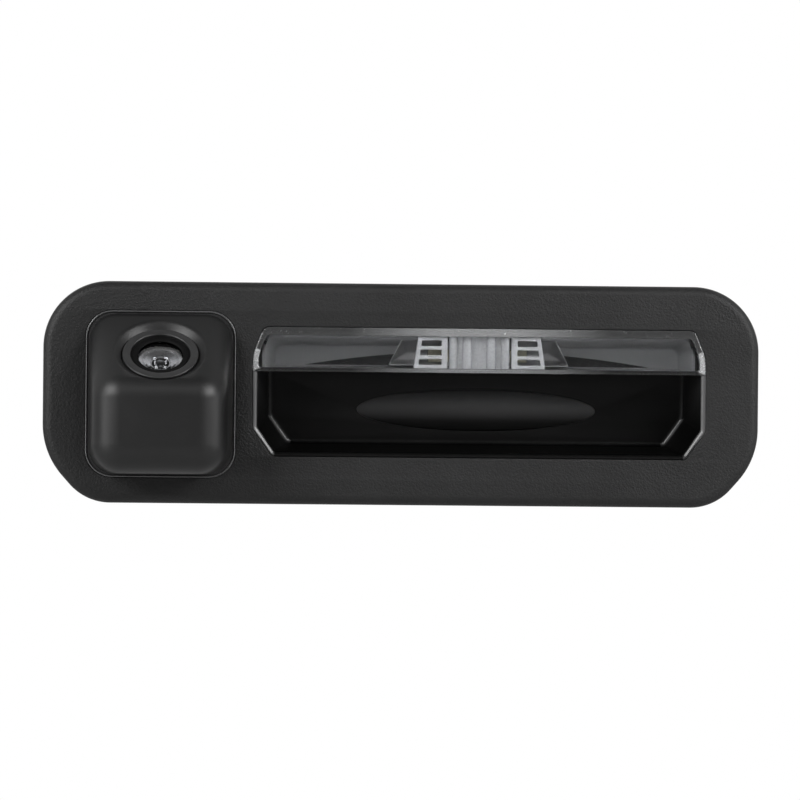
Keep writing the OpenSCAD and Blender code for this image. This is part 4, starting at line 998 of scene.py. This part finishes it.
def make_tray():
    """The tray behind the lens: two shallow wings with a deep arch in each, darkened by painted shade, and a
    bay for the reflector.
    """
    tray_low, tray_high = node_box("lamp_tray")
    half = (tray_high[0] - tray_low[0]) / 2
    low, top = tray_low[2], tray_high[2]
    outer = both_sides([(half, low, 0.6), (half, top, 2)])
    shell = Shell()
    rings = [pocket_ring(shell, TRAY_BACK, rounded(inset(outer, 0.2))),
             pocket_ring(shell, TRAY_BACK - 0.2, rounded(outer))]
    for y, side_gap, top_gap, low_gap in (
            (LENS_BACK + 0.02, -1.9, -0.8, 0), (LENS_BACK + 0.02, -1.2, -0.1, 0.5),
            (LENS_BACK + 0.3, -1.0, 0.1, 0.6), (WING_Y - 0.7, 1.0, 1.3, 1.2),
            (WING_Y - 0.35, 1.1, 1.4, 1.25), (WING_Y - 0.1, 1.3, 1.6, 1.4), (WING_Y, 1.6, 1.9, 1.6)):
        line = inset_edges(outer, [side_gap, top_gap, side_gap, low_gap], [0.6, 2, 2, 0.6])
        rings.append(pocket_ring(shell, y, rounded(line)))
    shell.solid(*rings)
    tray = shell.done("lamp_tray_moulding", LAMP_GREY, slot="lamp_grey", replaces=["lamp_tray"])
    arch_half, rise, chord = half - 8.0, 3.4, low + TRAY_WALL + 0.45
    r = (arch_half ** 2 + rise ** 2) / (2 * rise)
    reach = math.asin(arch_half / r)
    turns = [reach * k / 40 for k in range(40, -41, -1)]
    arc = [(r * math.sin(a), chord + rise - r + r * math.cos(a)) for a in turns]
    pit = Shell()
    prism(pit, shifted(arc, POCKET_X), LENS_BACK - 1, TRAY_BACK - TRAY_WALL)
    cut(tray, mesh_of(pit), "arch_pit")
    bay = Shell()
    line = shifted(rounded(bay_corners(0, low, top), step=10), POCKET_X)
    prism(bay, line, LENS_BACK - 1, TRAY_BACK - TRAY_WALL + 0.01)
    cut(tray, mesh_of(bay), "reflector_bay")


BAY_LOW_HALF = 21
BAY_TOP_HALF = 17.8
LED_PITCH = 9
LED_HALF_W = 2.65
LED_HALF_H = 1.65


def bay_corners(gap, low, top):
    """The reflector's slanted outline, moved inwards by gap."""
    return both_sides([(BAY_LOW_HALF - gap, low + TRAY_WALL + 0.3 + gap, 0.3),
                       (BAY_TOP_HALF - gap, top - TRAY_WALL - 0.3 - gap, 0.3)])


def make_reflector():
    """A folded metal tray with a thin bright edge, sloping walls and windows for the lamps."""
    tray_low, tray_high = node_box("lamp_tray")
    low, top = tray_low[2], tray_high[2]
    reflector_low, reflector_high = node_box("lamp_reflector")
    y0, y1 = reflector_low[1], reflector_high[1]
    shell = Shell()
    rows = [(y1, 0.25, 0), (y0 + 0.2, 0.06, 1.8), (y0 + 0.05, 0.1, 1.9), (y0, 0.15, 1.9), (y0, 0.28, 1.9),
            (y0 + 0.06, 0.34, 1.9), (y0 + 0.3, 0.4, 1.8), (y1 - 1.4, 1.15, 0.1), (y1 - 0.9, 1.5, 0),
            (y1 - 0.8, 1.9, 0)]
    rings = [pocket_ring(shell, y, rounded(bay_corners(gap, low, top + lift), step=10))
             for y, gap, lift in rows]
    shell.solid(*rings)
    reflector = shell.done("lamp_reflector_tray", LAMP_SILVER, slot="lamp_silver",
                           replaces=["lamp_reflector"])
    led_low, led_high = node_box("lamp_leds")
    z = (led_low[2] + led_high[2]) / 2
    for k in (-1, 0, 1):
        window = Shell()
        x = k * LED_PITCH
        line = box_line(x - LED_HALF_W, x + LED_HALF_W, z - LED_HALF_H, z + LED_HALF_H, 0.3)
        prism(window, shifted(line, POCKET_X), y1 - 2, y1 + 1)
        cut(reflector, mesh_of(window), "led_window")


# ---- release button ----

def make_button():
    """A long oval dome with a turned-in skirt and a lip that keeps it behind the back wall."""
    shell = Shell()
    rings = []
    rows = 22
    for k in range(rows):
        part = (k + 1) / (rows + 1)
        line = shifted(ellipse(BUTTON_W * part, BUTTON_H * part, 160), POCKET_X, BUTTON_Z)
        rings.append(shell.ring(FLOOR_Y - BUTTON_PROUD * (1 - part ** 2), line))
    soft = 0.15
    for y, gap in ((FLOOR_Y + 0.02, 0), (BUTTON_LIP_Y - soft, 0), (BUTTON_LIP_Y, soft),
                   (BUTTON_LIP_Y, BUTTON_LIP - soft), (BUTTON_LIP_Y + soft, BUTTON_LIP),
                   (BUTTON_BACK, BUTTON_LIP)):
        line = shifted(ellipse(BUTTON_W + 2 * gap, BUTTON_H + 2 * gap, 160), POCKET_X, BUTTON_Z)
        rings.append(shell.ring(y, line))
    shell.solid(*rings)
    shell.done("oval_button", BUTTON_PLASTIC, body="button", slot="button_plastic",
               replaces=["release_button"], sharp=50)


def make_springs():
    """Round wire coils with closed ends, built at one length; the real springs shorten as the button is
    pressed.
    """
    low, high = node_box("return_springs")
    wire, coil = 0.22, 2.3
    for side, middle in (("left", low[0] + coil + wire), ("right", high[0] - coil - wire)):
        shell = Shell()
        length = high[1] - low[1] - 2 * wire
        z = (low[2] + high[2]) / 2
        steps, turns = 200, 4.5
        rings = []
        for i in range(steps + 1):
            t = i / steps
            dead = 0.75 / turns
            rise = min(1, max(0, (t - dead) / (1 - 2 * dead)))
            rise = rise * 0.86 + 0.07 * min(1, t / dead) + 0.07 * max(0, (t - 1 + dead) / dead)
            angle = 2 * math.pi * turns * t
            y = low[1] + wire + length * rise
            ring = []
            for k in range(10):
                s = 2 * math.pi * k / 10
                r = coil + wire * math.cos(s)
                ring.append((middle + r * math.cos(angle), y + wire * math.sin(s), z + r * math.sin(angle)))
            rings.append(shell.loop(ring))
        shell.join(*rings)
        for ring in (rings[0], rings[-1]):
            shell.bm.faces.new(ring)
        spring = shell.done("spring_" + side, SPRING_STEEL, slot="spring_steel",
                            replaces=["return_springs"], sharp=60)
        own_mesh(spring)


make_bezel()
make_hood()
make_hood_bead()
make_camera()
make_pocket()
make_lamp()
make_button()
make_springs()

NODES_OF_MATERIAL = (
    (FOAM_RUBBER, "panel_gasket pocket_seal"),
    (HOUSING_PLASTIC, "rear_housing rear_cover camera_bracket button_guide"),
    (SCREW_STEEL, "flange_screws clip_rivets cover_screws bracket_screws lamp_screws guide_screws "
                  "board_screws"),
    (SPRING_STEEL, "retaining_clips return_springs"),
    (SEAL_RUBBER, "cover_seal cable_grommet hood_seal barrel_seal cap_seal camera_gland"),
    (MEMBRANE, "vent_plug"),
    (BARREL_METAL, "camera_barrel camera_cap"),
    (OPTICAL_GLASS, "front_element second_element rear_element"),
    (SATIN_SILVER, "inner_cone"),
    (BAFFLE_BLACK, "aperture_stop lens_cell"),
    (MOULDED_BLACK, "lens_holder switch_case connector_header"),
    (FILTER_GLASS, "ir_filter"),
    (CHIP_BLACK, "image_sensor power_board_parts lamp_resistors board_parts"),
    (CIRCUIT_BOARD, "sensor_board power_board lamp_board switch_board"),
    (CONTACT_BRASS, "board_spacers lamp_terminals connector_pins"),
    (POCKET_PLASTIC, "finger_pocket"),
    (LAMP_CLEAR, "lamp_lens"),
    (LAMP_GREY, "lamp_tray"),
    (LAMP_SILVER, "lamp_reflector"),
    (LED_PHOSPHOR, "lamp_leds"),
    (BUTTON_PLASTIC, "release_button"),
    (ACETAL, "button_carrier"),
    (PLUNGER_RED, "switch_plunger"),
)


def dress_frame_nodes():
    """Gives every CAD node that stays in view its own material and softly broken edges."""
    for material, names in NODES_OF_MATERIAL:
        for name in names.split():
            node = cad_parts[name]
            node.data.materials.clear()
            node.data.materials.append(material)
            weld = node.modifiers.new("weld", "WELD")
            weld.merge_threshold = 0.005 * MM
            bevel = node.modifiers.new("edge_break", "BEVEL")
            bevel.width = 0.12 * MM
            bevel.segments = 2
            bevel.limit_method = "ANGLE"
            bevel.angle_limit = math.radians(40)
            bevel.harden_normals = True


dress_frame_nodes()


# ---- studio ----

def make_camera_view():
    """A long lens from the front, a little to the left, with the photograph's slight roll."""
    distance, frame_width = 1150, 184.1
    place = Vector((-43.4, FRONT - distance, -1.25)) * MM
    aim = Vector((-0.4, FRONT, -1.25)) * MM
    data = bpy.data.cameras.new("view")
    data.sensor_width = 36
    data.lens = 36 * (aim - place).length / (frame_width * MM)
    data.clip_start = 0.01
    camera = bpy.data.objects.new("view", data)
    camera.location = place
    turn = (aim - place).to_track_quat("-Z", "Y") @ Quaternion((0, 0, 1), math.radians(0.55))
    camera.rotation_euler = turn.to_euler()
    show(camera)
    bpy.context.scene.camera = camera


def softbox(name, place, size, power, aim=(0, 0, 0)):
    data = bpy.data.lights.new(name, "AREA")
    data.shape = "RECTANGLE"
    data.size, data.size_y = size
    data.energy = power
    light = bpy.data.objects.new(name, data)
    light.location = place
    light.rotation_euler = (Vector(aim) - Vector(place)).to_track_quat("-Z", "Y").to_euler()
    show(light)


def make_studio():
    softbox("softbox_left", (-0.58, -0.50, 0.36), (0.44, 0.34), 7.2)
    softbox("softbox_left_low", (-0.75, -0.30, 0.02), (0.2, 0.4), 1.6)
    softbox("softbox_right", (0.56, -0.50, 0.36), (0.44, 0.34), 7.2)
    softbox("softbox_right_low", (0.75, -0.24, 0.0), (0.2, 0.3), 1.0)
    softbox("softbox_front", (0.10, -1.3, 0.95), (0.9, 0.4), 2)
    world = bpy.data.worlds.new("studio")
    bpy.context.scene.world = world
    world.use_nodes = True
    tree = world.node_tree
    background = tree.nodes["Background"]
    path = tree.nodes.new("ShaderNodeLightPath")
    place = tree.nodes.new("ShaderNodeTexCoord")
    parts = tree.nodes.new("ShaderNodeSeparateXYZ")
    ramp = tree.nodes.new("ShaderNodeMapRange")
    ramp.inputs["From Min"].default_value = -0.3
    ramp.inputs["From Max"].default_value = 0.6
    ramp.inputs["To Min"].default_value = 0.12
    ramp.inputs["To Max"].default_value = 0.9
    seen = tree.nodes.new("ShaderNodeMath")
    seen.operation = "MAXIMUM"
    tree.links.new(place.outputs["Generated"], parts.inputs["Vector"])
    tree.links.new(parts.outputs["Y"], ramp.inputs["Value"])
    tree.links.new(path.outputs["Is Camera Ray"], seen.inputs[0])
    tree.links.new(ramp.outputs["Result"], seen.inputs[1])
    tree.links.new(seen.outputs["Value"], background.inputs["Strength"])
    background.inputs["Color"].default_value = (1, 1, 1, 1)
    mesh = bpy.data.meshes.new("floor")
    s, z = 6.0, -0.16
    mesh.from_pydata([(-s, -s, z), (s, -s, z), (s, s, z), (-s, s, z)], [], [(0, 1, 2, 3)])
    floor = bpy.data.objects.new("floor", mesh)
    show(floor)
    n = Nodes("studio_floor")
    glow = n.add("ShaderNodeEmission")
    mix = n.add("ShaderNodeMixShader")
    n.link(n.add("ShaderNodeLightPath").outputs["Is Camera Ray"], mix.inputs[0])
    n.colour(n.spread(n.noise(300), 0, 1), (0.46, 0.46, 0.46), (0.5, 0.5, 0.5))
    n.link(n.shader.outputs[0], mix.inputs[1])
    n.link(glow.outputs[0], mix.inputs[2])
    n.link(mix.outputs[0], n.tree.nodes["Material Output"].inputs["Surface"])
    mesh.materials.append(n.material)
    bpy.context.scene.view_settings.view_transform = "Standard"


make_camera_view()
make_studio()
